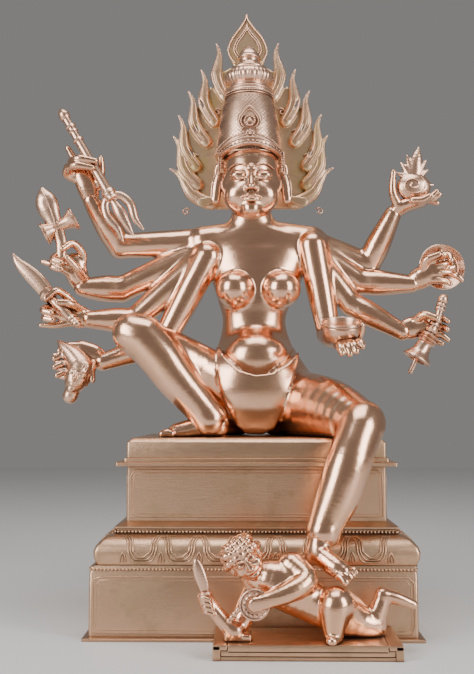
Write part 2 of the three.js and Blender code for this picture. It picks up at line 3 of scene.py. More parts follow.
import bpy
import numpy as np
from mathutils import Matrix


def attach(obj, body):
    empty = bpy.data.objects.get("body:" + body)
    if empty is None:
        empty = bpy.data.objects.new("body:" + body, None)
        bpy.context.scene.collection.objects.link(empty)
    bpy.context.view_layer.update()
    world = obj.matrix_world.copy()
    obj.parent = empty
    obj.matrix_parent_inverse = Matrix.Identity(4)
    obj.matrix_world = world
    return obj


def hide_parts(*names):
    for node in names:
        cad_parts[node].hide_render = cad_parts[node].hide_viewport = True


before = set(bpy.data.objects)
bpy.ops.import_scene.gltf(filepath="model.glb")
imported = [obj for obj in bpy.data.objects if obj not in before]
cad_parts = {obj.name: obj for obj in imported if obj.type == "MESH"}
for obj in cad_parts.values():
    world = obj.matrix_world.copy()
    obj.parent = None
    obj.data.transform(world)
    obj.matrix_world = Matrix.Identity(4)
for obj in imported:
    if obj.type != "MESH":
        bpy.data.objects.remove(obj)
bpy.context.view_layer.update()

import openvdb as vdb
from mathutils.bvhtree import BVHTree

MM = 0.001
EMPTY = 30.0  # the distance that unworked space starts with


# Curves

def smooth(points, per_span=6, closed=False):
    """Points on the smooth curve through the given ones. Every column runs smoothly, a radius too."""
    p = np.asarray(points, float)
    if closed:
        q = np.vstack([p[-1:], p, p[:2]])
    else:
        q = np.vstack([2 * p[:1] - p[1:2], p, 2 * p[-1:] - p[-2:-1]])
    t = np.linspace(0, 1, per_span, endpoint=False)[:, None]
    out = []
    for a, b, c, d in zip(q, q[1:], q[2:], q[3:]):
        out.append(0.5 * (2 * b + (c - a) * t + (2 * a - 5 * b + 4 * c - d) * t**2 + (3 * b - a - 3 * c + d) * t**3))
    if not closed:
        out.append(p[-1:])
    return np.vstack(out)


def evenly(path, spacing, closed=False):
    """The path's points again, at an even spacing as near as it divides."""
    p = np.vstack([path, path[:1]]) if closed else np.asarray(path, float)
    run = np.concatenate([[0], np.cumsum(np.linalg.norm(np.diff(p[:, :3], axis=0), axis=1))])
    count = max(2, int(round(run[-1] / spacing)) + (0 if closed else 1))
    at = np.linspace(0, run[-1], count, endpoint=not closed)
    return np.stack([np.interp(at, run, p[:, k]) for k in range(p.shape[1])], axis=1)


def mirrored(points, axis_x):
    p = np.array(points, float)
    p[:, 0] = 2 * axis_x - p[:, 0]
    return p


def turn_matrix(degrees):
    a, b, c = np.radians(degrees)
    rx = np.array([[1, 0, 0], [0, math.cos(a), -math.sin(a)], [0, math.sin(a), math.cos(a)]])
    ry = np.array([[math.cos(b), 0, math.sin(b)], [0, 1, 0], [-math.sin(b), 0, math.cos(b)]])
    rz = np.array([[math.cos(c), -math.sin(c), 0], [math.sin(c), math.cos(c), 0], [0, 0, 1]])
    return rz @ ry @ rx


# Wax: forms given as (lowest corner, highest corner, distance function), joined and cut on a grid

def strand(points, flat=None, per_span=5):
    """A tapering rope through points [x, y, z, radius]. flat = (direction, factor) presses it that way."""
    p = smooth(points, per_span).astype(np.float32)
    low = (p[:, :3] - p[:, 3:]).min(axis=0)
    high = (p[:, :3] + p[:, 3:]).max(axis=0)
    if flat is not None:
        s = np.array(flat[0], np.float32) / np.linalg.norm(flat[0])
        gain = 1 / flat[1] - 1
        p[:, :3] += gain * (p[:, :3] @ s)[:, None] * s

    def distance(x, y, z):
        if flat is not None:
            dot = gain * (x * s[0] + y * s[1] + z * s[2])
            x, y, z = x + dot * s[0], y + dot * s[1], z + dot * s[2]
        best = None
        for a, b in zip(p, p[1:]):
            v = b - a
            length2 = max(float(v[:3] @ v[:3]), 1e-6)
            t = np.clip(((x - a[0]) * v[0] + (y - a[1]) * v[1] + (z - a[2]) * v[2]) / length2, 0, 1)
            d = np.sqrt((x - a[0] - t * v[0]) ** 2 + (y - a[1] - t * v[1]) ** 2 + (z - a[2] - t * v[2]) ** 2)
            d = d - (a[3] + t * v[3])
            best = d if best is None else np.minimum(best, d)
        return best

    return low, high, distance


def egg(centre, radii, turn=(0, 0, 0)):
    c, r = np.array(centre, float), np.array(radii, float)
    m = turn_matrix(turn).T
    reach = r.max()

    def distance(x, y, z):
        x, y, z = x - c[0], y - c[1], z - c[2]
        q = [m[i, 0] * x + m[i, 1] * y + m[i, 2] * z for i in range(3)]
        k0 = np.sqrt(sum((q[i] / r[i]) ** 2 for i in range(3)))
        k1 = np.sqrt(sum((q[i] / r[i] ** 2) ** 2 for i in range(3)))
        return k0 * (k0 - 1) / np.maximum(k1, 1e-6)

    return c - reach, c + reach, distance


def column(levels):
    """A smooth upright form through ellipses [z, centre x, centre y, half width, half depth]."""
    p = smooth(levels, 8)
    p = p[np.argsort(p[:, 0])]
    low = np.array([(p[:, 1] - p[:, 3]).min(), (p[:, 2] - p[:, 4]).min(), p[0, 0]])
    high = np.array([(p[:, 1] + p[:, 3]).max(), (p[:, 2] + p[:, 4]).max(), p[-1, 0]])

    def distance(x, y, z):
        cx, cy, rx, ry = (np.interp(z, p[:, 0], p[:, k]) for k in range(1, 5))
        u, v = x - cx, y - cy
        k0 = np.sqrt((u / rx) ** 2 + (v / ry) ** 2)
        k1 = np.sqrt((u / rx**2) ** 2 + (v / ry**2) ** 2)
        side = k0 * (k0 - 1) / np.maximum(k1, 1e-6)
        return np.maximum(side, np.maximum(low[2] - z, z - high[2]))

    return low, high, distance


def board(outline, y0, y1, rounding=0.0):
    """A flat outline [[x, z], ...] seen from the front, between two depths, with rounded edges."""
    q = np.array(outline, float)
    low = np.array([q[:, 0].min(), y0, q[:, 1].min()])
    high = np.array([q[:, 0].max(), y1, q[:, 1].max()])

    def distance(x, y, z):
        gx, gz = x[:, 0, :], z[0, 0, :][None, :]
        best = np.full(np.broadcast_shapes(gx.shape, gz.shape), 1e9)
        inside = np.zeros(best.shape, bool)
        for a, b in zip(q, np.roll(q, -1, axis=0)):
            v = b - a
            t = np.clip(((gx - a[0]) * v[0] + (gz - a[1]) * v[1]) / max(v @ v, 1e-9), 0, 1)
            best = np.minimum(best, (gx - a[0] - t * v[0]) ** 2 + (gz - a[1] - t * v[1]) ** 2)
            if a[1] != b[1]:
                inside ^= ((a[1] > gz) != (b[1] > gz)) & (gx < (gz - a[1]) * v[0] / v[1] + a[0])
        flat = (np.where(inside, -1, 1) * np.sqrt(best) + rounding)[:, None, :]
        deep = np.abs(y - (y0 + y1) / 2) - (y1 - y0) / 2 + rounding
        beyond = np.sqrt(np.maximum(flat, 0) ** 2 + np.maximum(deep, 0) ** 2)
        return np.minimum(np.maximum(flat, deep), 0) + beyond - rounding

    return low, high, distance


def block(low, high):
    low, high = np.array(low, float), np.array(high, float)

    def distance(x, y, z):
        gaps = [np.abs(q - (a + b) / 2) - (b - a) / 2 for q, a, b in zip((x, y, z), low, high)]
        beyond = np.sqrt(sum(np.maximum(g, 0) ** 2 for g in gaps))
        return beyond + np.minimum(np.maximum(np.maximum(gaps[0], gaps[1]), gaps[2]), 0)

    return low, high, distance


def shared(a, b):
    """What two forms have in common."""
    return np.maximum(a[0], b[0]), np.minimum(a[1], b[1]), lambda x, y, z: np.maximum(a[2](x, y, z), b[2](x, y, z))


def soft_min(a, b, blend):
    if blend <= 0:
        return np.minimum(a, b)
    h = np.clip(0.5 + 0.5 * (b - a) / blend, 0, 1)
    return b * (1 - h) + a * h - blend * h * (1 - h)


class Wax:
    """A block that forms are added to and cut from, with soft joins."""

    def __init__(self, low, high, pitch):
        self.low, self.pitch = np.array(low, float), pitch
        size = np.ceil((np.array(high) - self.low) / pitch).astype(int) + 1
        self.field = np.full(size, EMPTY, np.float32)

    def window(self, low, high, margin):
        first = np.floor((low - margin - self.low) / self.pitch).astype(int)
        last = np.ceil((high + margin - self.low) / self.pitch).astype(int) + 1
        first = np.clip(first, 0, self.field.shape)
        last = np.clip(last, first, self.field.shape)
        axes = [(self.low[k] + self.pitch * np.arange(first[k], last[k])).astype(np.float32) for k in range(3)]
        return tuple(slice(a, b) for a, b in zip(first, last)), np.ix_(*axes)

    def add(self, form, blend=0.0, grow=0.0):
        place, (x, y, z) = self.window(form[0], form[1], blend + grow + 4 * self.pitch)
        self.field[place] = soft_min(self.field[place], form[2](x, y, z) - grow, blend)

    def cut(self, form, blend=0.0, grow=0.0):
        place, (x, y, z) = self.window(form[0], form[1], blend + grow + 4 * self.pitch)
        self.field[place] = -soft_min(-self.field[place], form[2](x, y, z) - grow, blend)

    def shell(self, rounds=2):
        """The surface as a closed shell, with the grid's steps smoothed away."""
        band = 3 * self.pitch
        field = np.clip(self.field, -band, band)
        for k in range(3):
            ends = [slice(None)] * 3
            for ends[k] in (0, -1):
                field[tuple(ends)] = band
        grid = vdb.FloatGrid(band)
        grid.copyFromArray(field)
        verts, tris, quads = grid.convertToPolygons(isovalue=0.0, adaptivity=0.0)
        verts = verts.astype(float)
        edges = np.vstack([quads[:, [0, 1]], quads[:, [1, 2]], quads[:, [2, 3]], quads[:, [3, 0]]])
        edges = np.vstack([edges, edges[:, ::-1]]).astype(np.int64)
        count = np.maximum(np.bincount(edges[:, 0], minlength=len(verts)), 1)[:, None]
        for _ in range(rounds):
            for step in (0.55, -0.57):
                mean = np.stack(
                    [np.bincount(edges[:, 0], verts[edges[:, 1], k], minlength=len(verts)) for k in range(3)], axis=1)
                verts += step * (mean / count - verts)
        return outward(self.low + verts * self.pitch, quads, tris)


# Shells: (points in millimetres, four-sided faces, triangles)

NO_TRIS = np.zeros((0, 3), np.int64)
NO_QUADS = np.zeros((0, 4), np.int64)


def outward(verts, quads, tris):
    quads, tris = np.asarray(quads, np.int64).reshape(-1, 4), np.asarray(tris, np.int64).reshape(-1, 3)
    t = np.vstack([quads[:, [0, 1, 2]], quads[:, [0, 2, 3]], tris])
    centre = verts.mean(axis=0)
    a, b, c = (verts[t[:, k]] - centre for k in range(3))
    if np.einsum("ij,ij->", a, np.cross(b, c)) < 0:
        quads, tris = quads[:, ::-1], tris[:, ::-1]
    return verts, quads, tris


def together(shells):
    verts, quads, tris, start = [], [], [], 0
    for v, q, t in shells:
        verts.append(v)
        quads.append(q + start)
        tris.append(t + start)
        start += len(v)
    return np.vstack(verts), np.vstack(quads), np.vstack(tris)


def unit(v):
    v = np.asarray(v, float)
    return v / np.maximum(np.linalg.norm(v, axis=-1, keepdims=True), 1e-9)


def grid_faces(rows, cols, wrap):
    r, c = np.meshgrid(np.arange(rows - 1), np.arange(cols if wrap else cols - 1), indexing="ij")
    c2 = (c + 1) % cols
    return np.stack([r * cols + c, r * cols + c2, (r + 1) * cols + c2, (r + 1) * cols + c], axis=-1).reshape(-1, 4)


def tube(path, radius, sides=8, closed=False, flat=1.0, normals=None, wave=None):
    """A closed shell round a path. radius is one number or one for each point; flat presses it along normals."""
    p = np.asarray(path, float)
    n = len(p)
    r = np.broadcast_to(np.asarray(radius, float), (n,))
    along = unit(np.roll(p, -1, 0) - np.roll(p, 1, 0)) if closed else unit(np.gradient(p, axis=0))
    if normals is None:
        lean = np.abs(along).max(axis=0)
        normals = np.broadcast_to(np.eye(3)[int(np.argmin(lean))], (n, 3))
    side = unit(np.cross(along, normals))
    up = np.cross(side, along)
    a = 2 * math.pi * (np.arange(sides) + 0.5) / sides
    reach = r[:, None] * (1 if wave is None else wave(a[None, :], np.arange(n)[:, None]))
    ring = (p[:, None] + side[:, None] * (np.cos(a) * reach)[..., None]
            + up[:, None] * (np.sin(a) * reach * flat)[..., None])
    verts = ring.reshape(-1, 3)
    if closed:
        quads = grid_faces(n, sides, True)
        last = (n - 1) * sides + np.arange(sides)
        first = np.arange(sides)
        quads = np.vstack([quads, np.stack([last, np.roll(last, -1), np.roll(first, -1), first], axis=1)])
        return outward(verts, quads, NO_TRIS)
    ends = np.stack([p[0] - along[0] * r[0] * 0.6, p[-1] + along[-1] * r[-1] * 0.6])
    verts = np.vstack([verts, ends])
    first, last = np.arange(sides), (n - 1) * sides + np.arange(sides)
    tris = np.vstack([
        np.stack([np.full(sides, n * sides), np.roll(first, -1), first], axis=1),
        np.stack([np.full(sides, n * sides + 1), last, np.roll(last, -1)], axis=1)])
    return outward(verts, grid_faces(n, sides, True), tris)


def turned(profile, start, end, sides=32, relief=None):
    """A form turned about the axis from start towards end. The profile [radius, height] starts and ends on it."""
    p = np.asarray(profile, float)
    start, axis = np.array(start, float), unit(np.array(end, float) - start)
    side = unit(np.cross(axis, [0, 1, 0] if abs(axis[1]) < 0.9 else [1, 0, 0]))
    other = np.cross(axis, side)
    a = 2 * math.pi * np.arange(sides) / sides
    inner = p[1:-1]
    r = np.repeat(inner[:, :1], sides, axis=1)
    if relief is not None:
        r = r + relief(a[None, :], inner[:, 1:2])
    ring = start + (side * np.cos(a)[:, None] + other * np.sin(a)[:, None])[None] * r[..., None]
    ring = ring + axis * inner[:, 1][:, None, None]
    n = len(inner)
    verts = np.vstack([ring.reshape(-1, 3), start + axis * p[0, 1], start + axis * p[-1, 1]])
    first, last = np.arange(sides), (n - 1) * sides + np.arange(sides)
    tris = np.vstack([
        np.stack([np.full(sides, n * sides), np.roll(first, -1), first], axis=1),
        np.stack([np.full(sides, n * sides + 1), last, np.roll(last, -1)], axis=1)])
    return outward(verts, grid_faces(n, sides, True), tris)


def rounded(profile, per_span=4):
    """A turned profile with its bends eased, its ends still on the axis."""
    p = smooth(profile, per_span)
    p[:, 0] = np.maximum(p[:, 0], 0.01)
    p[0, 0] = p[-1, 0] = 0
    return p


def beads(centres, radius, rows=4, sides=7):
    """Small balls at the given places, radius one number or one for each."""
    c = np.asarray(centres, float)
    r = np.broadcast_to(np.asarray(radius, float), (len(c),))
    polar = math.pi * np.arange(1, rows) / rows
    a = 2 * math.pi * np.arange(sides) / sides
    ring = np.stack([np.sin(polar)[:, None] * np.cos(a), np.sin(polar)[:, None] * np.sin(a),
                     np.repeat(np.cos(polar)[:, None], sides, axis=1)], axis=-1).reshape(-1, 3)
    one = np.vstack([ring, [[0, 0, 1], [0, 0, -1]]])
    top, bottom = (rows - 1) * sides, (rows - 1) * sides + 1
    first, last = np.arange(sides), (rows - 2) * sides + np.arange(sides)
    tris = np.vstack([np.stack([np.full(sides, top), first, np.roll(first, -1)], axis=1),
                      np.stack([np.full(sides, bottom), np.roll(last, -1), last], axis=1)])
    quads = grid_faces(rows - 1, sides, True)[:, ::-1]
    offset = (len(one) * np.arange(len(c)))[:, None, None]
    return ((c[:, None] + one[None] * r[:, None, None]).reshape(-1, 3),
            (quads[None] + offset).reshape(-1, 4), (tris[None] + offset).reshape(-1, 3))


def sheet(top, under, wrap=False):
    """A closed shell between two grids of points, rows by columns. wrap joins the last column to the first."""
    rows, cols = top.shape[:2]
    faces = grid_faces(rows, cols, wrap)
    size = rows * cols
    quads = [faces, faces[:, ::-1] + size]
    around = cols if wrap else cols - 1
    c = np.arange(around)
    c2 = (c + 1) % cols
    for row, order in ((0, 1), (rows - 1, -1)):
        a, b = row * cols + c, row * cols + c2
        quads.append(np.stack([b, a, a + size, b + size], axis=1)[:, ::order])
    if not wrap:
        r = np.arange(rows - 1)
        for col, order in ((0, 1), (cols - 1, -1)):
            a, b = r * cols + col, (r + 1) * cols + col
            quads.append(np.stack([a, b, b + size, a + size], axis=1)[:, ::order])
    return outward(np.vstack([top.reshape(-1, 3), under.reshape(-1, 3)]), np.vstack(quads), NO_TRIS)


class Skin:
    """A surface that jewellery and cloth borders are laid on."""

    def __init__(self, *shells):
        verts, quads, tris = together(shells)
        self.tree = BVHTree.FromPolygons(verts.tolist(), quads.tolist() + tris.tolist())

    def laid(self, points, lift=0.0):
        """The nearest points of the surface, lifted off it, and its normals there."""
        p = np.asarray(points, float)
        flat = p.reshape(-1, 3)
        found = [self.tree.find_nearest(q) for q in flat.tolist()]
        normal = np.array([f[1] for f in found])
        place = np.array([f[0] for f in found]) + normal * np.broadcast_to(lift, p.shape[:-1]).reshape(-1, 1)
        return place.reshape(p.shape), normal.reshape(p.shape)

    def from_front(self, xz, lift=0.0, start=-300.0):
        """Points [x, z] carried straight back from the front until they meet the surface."""
        places, normals = [], []
        for x, z in np.asarray(xz, float)[:, :2].tolist():
            place, normal, _, _ = self.tree.ray_cast((x, start, z), (0, 1, 0))
            if place is None:
                place, normal, _, _ = self.tree.find_nearest((x, start + 250, z))
            places.append(place)
            normals.append(normal)
        places, normals = np.array(places), np.array(normals)
        return places + normals * lift, normals

    def girdle(self, centre, axis, lift=0.0, count=72, reach=70.0):
        """A ring round a limb in the plane through centre across axis, on the surface."""
        axis = unit(np.array(axis, float))
        side = unit(np.cross(axis, [0, 1, 0] if abs(axis[1]) < 0.9 else [1, 0, 0]))
        other = np.cross(axis, side)
        places, normals = [], []
        for a in 2 * math.pi * np.arange(count) / count:
            way = side * math.cos(a) + other * math.sin(a)
            place, normal, _, _ = self.tree.ray_cast(centre, way, reach)
            if place is None:
                place, normal = np.array(centre) + way * 12, way
            places.append(place)
            normals.append(way)
        places, normals = np.array(places), np.array(normals)
        return places + normals * lift, normals


def inset(points, by, axis=1):
    """The points moved away from the viewer, as the hidden side of a sheet."""
    moved = np.array(points, float)
    moved[..., axis] += by
    return moved


# Materials come further down, by name
finishes = {}


def piece(name, node, finish, *shells, sharp=None):
    """A mesh object of shells that stands for a node of the frame."""
    verts, quads, tris = together(shells)
    mesh = bpy.data.meshes.new(name)
    mesh.vertices.add(len(verts))
    mesh.vertices.foreach_set("co", (verts * MM).astype(np.float32).ravel())
    corners = np.concatenate([quads.ravel(), tris.ravel()]).astype(np.int32)
    mesh.loops.add(len(corners))
    mesh.loops.foreach_set("vertex_index", corners)
    sizes = np.concatenate([np.full(len(quads), 4), np.full(len(tris), 3)])
    mesh.polygons.add(len(sizes))
    mesh.polygons.foreach_set("loop_start", np.concatenate([[0], np.cumsum(sizes)[:-1]]).astype(np.int32))
    mesh.update(calc_edges=True)
    mesh.validate()
    mesh.shade_smooth()
    if sharp is not None:
        mesh.set_sharp_from_angle(angle=math.radians(sharp))
    mesh.materials.append(finishes[finish])
    obj = bpy.data.objects.new(name, mesh)
    bpy.context.scene.collection.objects.link(obj)
    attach(obj, "root")
    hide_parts(node)
    print(name, "triangles", 2 * len(quads) + len(tris))
    return obj


# Finishes

def effect_group(name, inputs, outputs):
    """An empty shader group with named sockets, and its two end nodes."""
    tree = bpy.data.node_groups.new(name, "ShaderNodeTree")
    for socket, kind, value in inputs:
        made = tree.interface.new_socket(socket, in_out="INPUT", socket_type=kind)
        made.default_value = value
    for socket, kind in outputs:
        tree.interface.new_socket(socket, in_out="OUTPUT", socket_type=kind)
    return tree, tree.nodes.new("NodeGroupInput"), tree.nodes.new("NodeGroupOutput")


def node(tree, kind, **values):
    """A shader node with its properties, or its inputs by name, set."""
    made = tree.nodes.new(kind)
    for key, value in values.items():
        if hasattr(made, key):
            setattr(made, key, value)
        else:
            made.inputs[key.replace("_", " ")].default_value = value
    return made


def mixed(tree, blend, factor, a, b):
    """A colour mix. Each of factor, a and b is a socket or a plain value."""
    made = tree.nodes.new("ShaderNodeMix")
    made.data_type, made.blend_type = "RGBA", blend
    for socket, value in ((made.inputs[0], factor), (made.inputs[6], a), (made.inputs[7], b)):
        if isinstance(value, bpy.types.NodeSocket):
            tree.links.new(value, socket)
        else:
            socket.default_value = value
    return made.outputs[2]


def ramped(tree, socket, low, high, smooth_step=True):
    """0 below low and 1 above high."""
    made = node(tree, "ShaderNodeMapRange", From_Min=low, From_Max=high)
    made.interpolation_type = "SMOOTHSTEP" if smooth_step else "LINEAR"
    tree.links.new(socket, made.inputs["Value"])
    return made.outputs["Result"]


def worked_bronze():
    """Colour, roughness and fine relief of cast bronze that was filed, polished and handled, with shade painted into
    its recesses.
    """
    colour, value, vector = "NodeSocketColor", "NodeSocketFloat", "NodeSocketVector"
    tree, start, end = effect_group(
        "worked_bronze",
        # The second colour is painted shade, laid where the Open input, ambient occlusion, finds the surface closed in.
        [("Polished", colour, (0.8, 0.5, 0.34, 1)), ("Recess", colour, (0.15, 0.07, 0.04, 1)),
         ("Stain", colour, (0.5, 0.36, 0.2, 1)), ("Stain amount", value, 0.2), ("Open", value, 1.0),
         ("Gloss", value, 0.2), ("Dull", value, 0.5), ("Grain", value, 1.0)],
        [("Colour", colour), ("Roughness", value), ("Height", value)])
    links = tree.links
    where = node(tree, "ShaderNodeTexCoord").outputs["Object"]
    cloud = node(tree, "ShaderNodeTexNoise", Scale=24.0, Detail=5.0, Roughness=0.6)
    fine = node(tree, "ShaderNodeTexNoise", Scale=420.0, Detail=4.0, Roughness=0.6)
    brush = node(tree, "ShaderNodeTexNoise", Scale=60.0, Detail=3.0, Roughness=0.55)
    stretch = node(tree, "ShaderNodeMapping")
    stretch.inputs["Scale"].default_value = (1.0, 4.0, 14.0)
    links.new(where, stretch.inputs["Vector"])
    links.new(stretch.outputs["Vector"], brush.inputs["Vector"])
    for texture in (cloud, fine):
        links.new(where, texture.inputs["Vector"])
    stained = node(tree, "ShaderNodeMath", operation="MULTIPLY")
    links.new(ramped(tree, cloud.outputs["Fac"], 0.48, 0.68), stained.inputs[0])
    links.new(start.outputs["Stain amount"], stained.inputs[1])
    body = mixed(tree, "MIX", stained.outputs[0], start.outputs["Polished"], start.outputs["Stain"])
    # Painted shade: the colour turns to the shade colour where ambient occlusion is low; the roughness rises there too.
    closed_in = ramped(tree, start.outputs["Open"], 0.25, 0.85)
    links.new(mixed(tree, "MIX", closed_in, start.outputs["Recess"], body), end.inputs["Colour"])
    uneven = node(tree, "ShaderNodeMath", operation="MULTIPLY_ADD")
    uneven.inputs[1].default_value = 0.16
    links.new(brush.outputs["Fac"], uneven.inputs[0])
    links.new(start.outputs["Gloss"], uneven.inputs[2])
    dulled = node(tree, "ShaderNodeMix")
    links.new(stained.outputs[0], dulled.inputs[0])
    links.new(uneven.outputs[0], dulled.inputs[2])
    links.new(start.outputs["Dull"], dulled.inputs[3])
    deep = node(tree, "ShaderNodeMix")
    links.new(closed_in, deep.inputs[0])
    deep.inputs[2].default_value = 0.6
    links.new(dulled.outputs[0], deep.inputs[3])
    links.new(deep.outputs[0], end.inputs["Roughness"])
    both = node(tree, "ShaderNodeMath", operation="ADD")
    links.new(fine.outputs["Fac"], both.inputs[0])
    links.new(brush.outputs["Fac"], both.inputs[1])
    graded = node(tree, "ShaderNodeMath", operation="MULTIPLY")
    links.new(both.outputs[0], graded.inputs[0])
    links.new(start.outputs["Grain"], graded.inputs[1])
    links.new(graded.outputs[0], end.inputs["Height"])
    return tree


def bronze(name, group, reach=0.006, relief=0.00008, **values):
    """A bronze finish with shade painted into its recesses from ambient occlusion. reach is how wide a recess may be to
    keep its painted shade.
    """
    material = bpy.data.materials.new(name)
    material.use_nodes = True
    tree = material.node_tree
    shader = tree.nodes["Principled BSDF"]
    shader.inputs["Metallic"].default_value = 1.0
    worked = tree.nodes.new("ShaderNodeGroup")
    worked.node_tree = group
    for key, value in values.items():
        worked.inputs[key.replace("_", " ")].default_value = value
    # Ambient occlusion darkens the colour in recesses and between parts: painted shade.
    hollow = node(tree, "ShaderNodeAmbientOcclusion", samples=8, Distance=reach)
    tree.links.new(hollow.outputs["AO"], worked.inputs["Open"])
    bump = node(tree, "ShaderNodeBump", Strength=1.0, Distance=relief)
    tree.links.new(worked.outputs["Height"], bump.inputs["Height"])
    tree.links.new(bump.outputs["Normal"], shader.inputs["Normal"])
    tree.links.new(worked.outputs["Colour"], shader.inputs["Base Color"])
    tree.links.new(worked.outputs["Roughness"], shader.inputs["Roughness"])
    finishes[name] = material


worked = worked_bronze()
# Each finish's second colour is the painted shade for its recesses.
bronze("polished_bronze", worked, Polished=(0.86, 0.5, 0.33, 1), Recess=(0.16, 0.07, 0.04, 1),
       Stain=(0.72, 0.42, 0.22, 1), Stain_amount=0.35, Gloss=0.12, Dull=0.34)
bronze("chased_bronze", worked, Polished=(0.84, 0.52, 0.37, 1), Recess=(0.13, 0.06, 0.04, 1),
       Stain=(0.7, 0.42, 0.24, 1), Stain_amount=0.35, Gloss=0.2, Dull=0.4, reach=0.004)
bronze("halo_bronze", worked, Polished=(0.82, 0.55, 0.34, 1), Recess=(0.2, 0.12, 0.05, 1),
       Stain=(0.6, 0.42, 0.16, 1), Stain_amount=0.75, Gloss=0.26, Dull=0.45, Grain=2.0)
bronze("pedestal_bronze", worked, Polished=(0.66, 0.41, 0.26, 1), Recess=(0.14, 0.07, 0.04, 1),
       Stain=(0.42, 0.28, 0.16, 1), Stain_amount=0.6, Gloss=0.26, Dull=0.5, Grain=2.0)


# Body

MIDLINE = -1.5  # the face's middle, X
TORSO = [
    [250, 5, 14, 84, 64], [290, 5, 12, 82, 58], [320, 4, 12, 64, 46], [345, 3, 12, 50, 37],
    [378, 2, 13, 42, 30], [405, 3, 14, 49, 33], [440, 6, 17, 63, 37], [468, 8, 18, 74, 34],
    [488, 7, 18, 70, 28], [500, 2, 14, 46, 25], [512, -1, 11, 30, 23], [548, -1.5, 7, 25, 23],
]
# Shoulder, elbow, wrist and forearm radius, from the upper pair to the lower
RIGHT_ARMS = [
    ((-62, 22, 488), (-181, 26, 484), (-218, 5, 542), 17),
    ((-60, 20, 478), (-178, 16, 423), (-228, 0, 423), 17.5),
    ((-60, 12, 470), (-158, 2, 379), (-215, -13, 379), 16),
    ((-60, 2, 464), (-118, -6, 350), (-195, -26, 322), 15.5),
]
LEFT_ARMS = [
    ((76, 22, 486), (157, 26, 457), (189, 7, 523), 16.5),
    ((78, 18, 478), (147, 18, 432), (212, 1, 427), 16.5),
    ((78, 12, 470), (131, 4, 401), (196, -13, 362), 15.5),
    ((80, 0, 478), (100, -6, 360), (112, -72, 346), 15),
]


def between(a, b, t):
    return [p + (q - p) * t for p, q in zip(a, b)]


def torso_on(wax, grow=0.0):
    wax.add(column(TORSO), grow=grow)
    wax.add(egg((5, -16, 327), (43, 34, 36)), 14, grow)
    for side in (-1, 1):
        wax.add(egg((5 + side * 42, 48, 262), (44, 38, 40)), 16, grow)


def upper_body():
    wax = Wax((-240, -105, 296), (226, 92, 550), 2.05)
    torso_on(wax)
    wax.add(strand([[-66, 18, 487, 22], [7, 16, 494, 22], [80, 16, 486, 22]]), 10)
    for x in (-23.5, 38):
        wax.add(egg((x, -17, 418), (25, 26, 24.5)), 5)
    for shoulder, elbow, wrist, fore in RIGHT_ARMS + LEFT_ARMS:
        wax.add(strand([[*shoulder, 20], [*between(shoulder, elbow, 0.5), 18.6], [*elbow, fore]]), 4)
        wax.add(strand([[*elbow, fore], [*between(elbow, wrist, 0.35), fore + 0.8],
                        [*between(elbow, wrist, 0.75), fore - 2.5], [*wrist, 11.5]]), 3)
    return wax.shell()


RIGHT_SHIN = [[-136, -72, 350, 28], [-115, -72, 326, 27.5], [-96, -72, 300, 25.5], [-66, -72, 265, 21.5],
              [-54, -71, 249, 22.5]]
LEFT_SHIN = [[124, -140, 236, 26], [109, -156, 200, 26], [96, -160, 163, 25], [84, -165, 137, 20.5],
             [79, -169, 124, 19.5]]
APRON_EDGE = [
    [-46, 345], [-47, 322], [-40, 286], [-31, 260], [-20, 240], [-8, 230], [12, 229], [27, 237], [38, 258],
    [46, 288], [58, 318], [60, 336], [44, 318], [24, 306], [4, 303], [-18, 310], [-36, 328],
]
APRON_SWELL = ((4, -6, 288), (86, 68, 74))
SEAT_ROOM = [block((-170, -118.4, 150), (175, 118, 226.9)), block((-170, -130.5, 150), (175, 130, 199))]


def lower_body():
    wax = Wax((-182, -205, 108), (164, 92, 388), 2.05)
    torso_on(wax, 1.5)
    wax.add(strand([[-28, 0, 280, 42], [-88, -38, 320, 34], [-146, -72, 353, 25]]), 8)
    wax.add(egg((-150, -72, 356), (25.5, 25, 25)), 3)
    wax.add(strand(RIGHT_SHIN), 5)
    wax.add(strand([[50, -6, 270, 44], [94, -72, 262, 37], [127, -130, 244, 27.5]]), 8)
    wax.add(egg((129, -131, 244), (26, 27, 27)), 3)
    wax.add(strand(LEFT_SHIN), 5)

    # The skirt ends at the belt, which dips from the hips to below the belly.
    def above_belt(x, y, z):
        dip = 42 * np.exp(-(((x - 5) / 38) ** 2)) * np.clip((20 - y) / 40, 0, 1)
        return np.maximum((345 - dip - z) * 0.8, np.maximum(-52 - x, x - 66))

    wax.cut((np.array([-52, -112, 296]), np.array([66, 95, 390]), above_belt))
    wax.add(shared(board(APRON_EDGE, -90, -20, 2), egg(*APRON_SWELL)), 1)
    for room in SEAT_ROOM:
        wax.cut(room)
    return wax.shell()


# Feet and hands

def toes(wax, first, last, aim, radius, drop):
    """Five toes side by side from the great toe, pointing along aim."""
    aim = unit(aim)
    for k in range(5):
        t = k / 4
        base = np.array(between(first, last, t))
        r = radius * (1.25 if k == 0 else 1 - 0.08 * k)
        reach = 2.6 * radius * (1 - 0.09 * k)
        tip = base + aim * reach
        tip[2] += drop
        bend = (base + tip) / 2 + np.array([0, 0, 0.35 * radius])
        wax.add(strand([[*base, r], [*bend, r * 0.95], [*tip, r * 0.85]], per_span=3), 1)


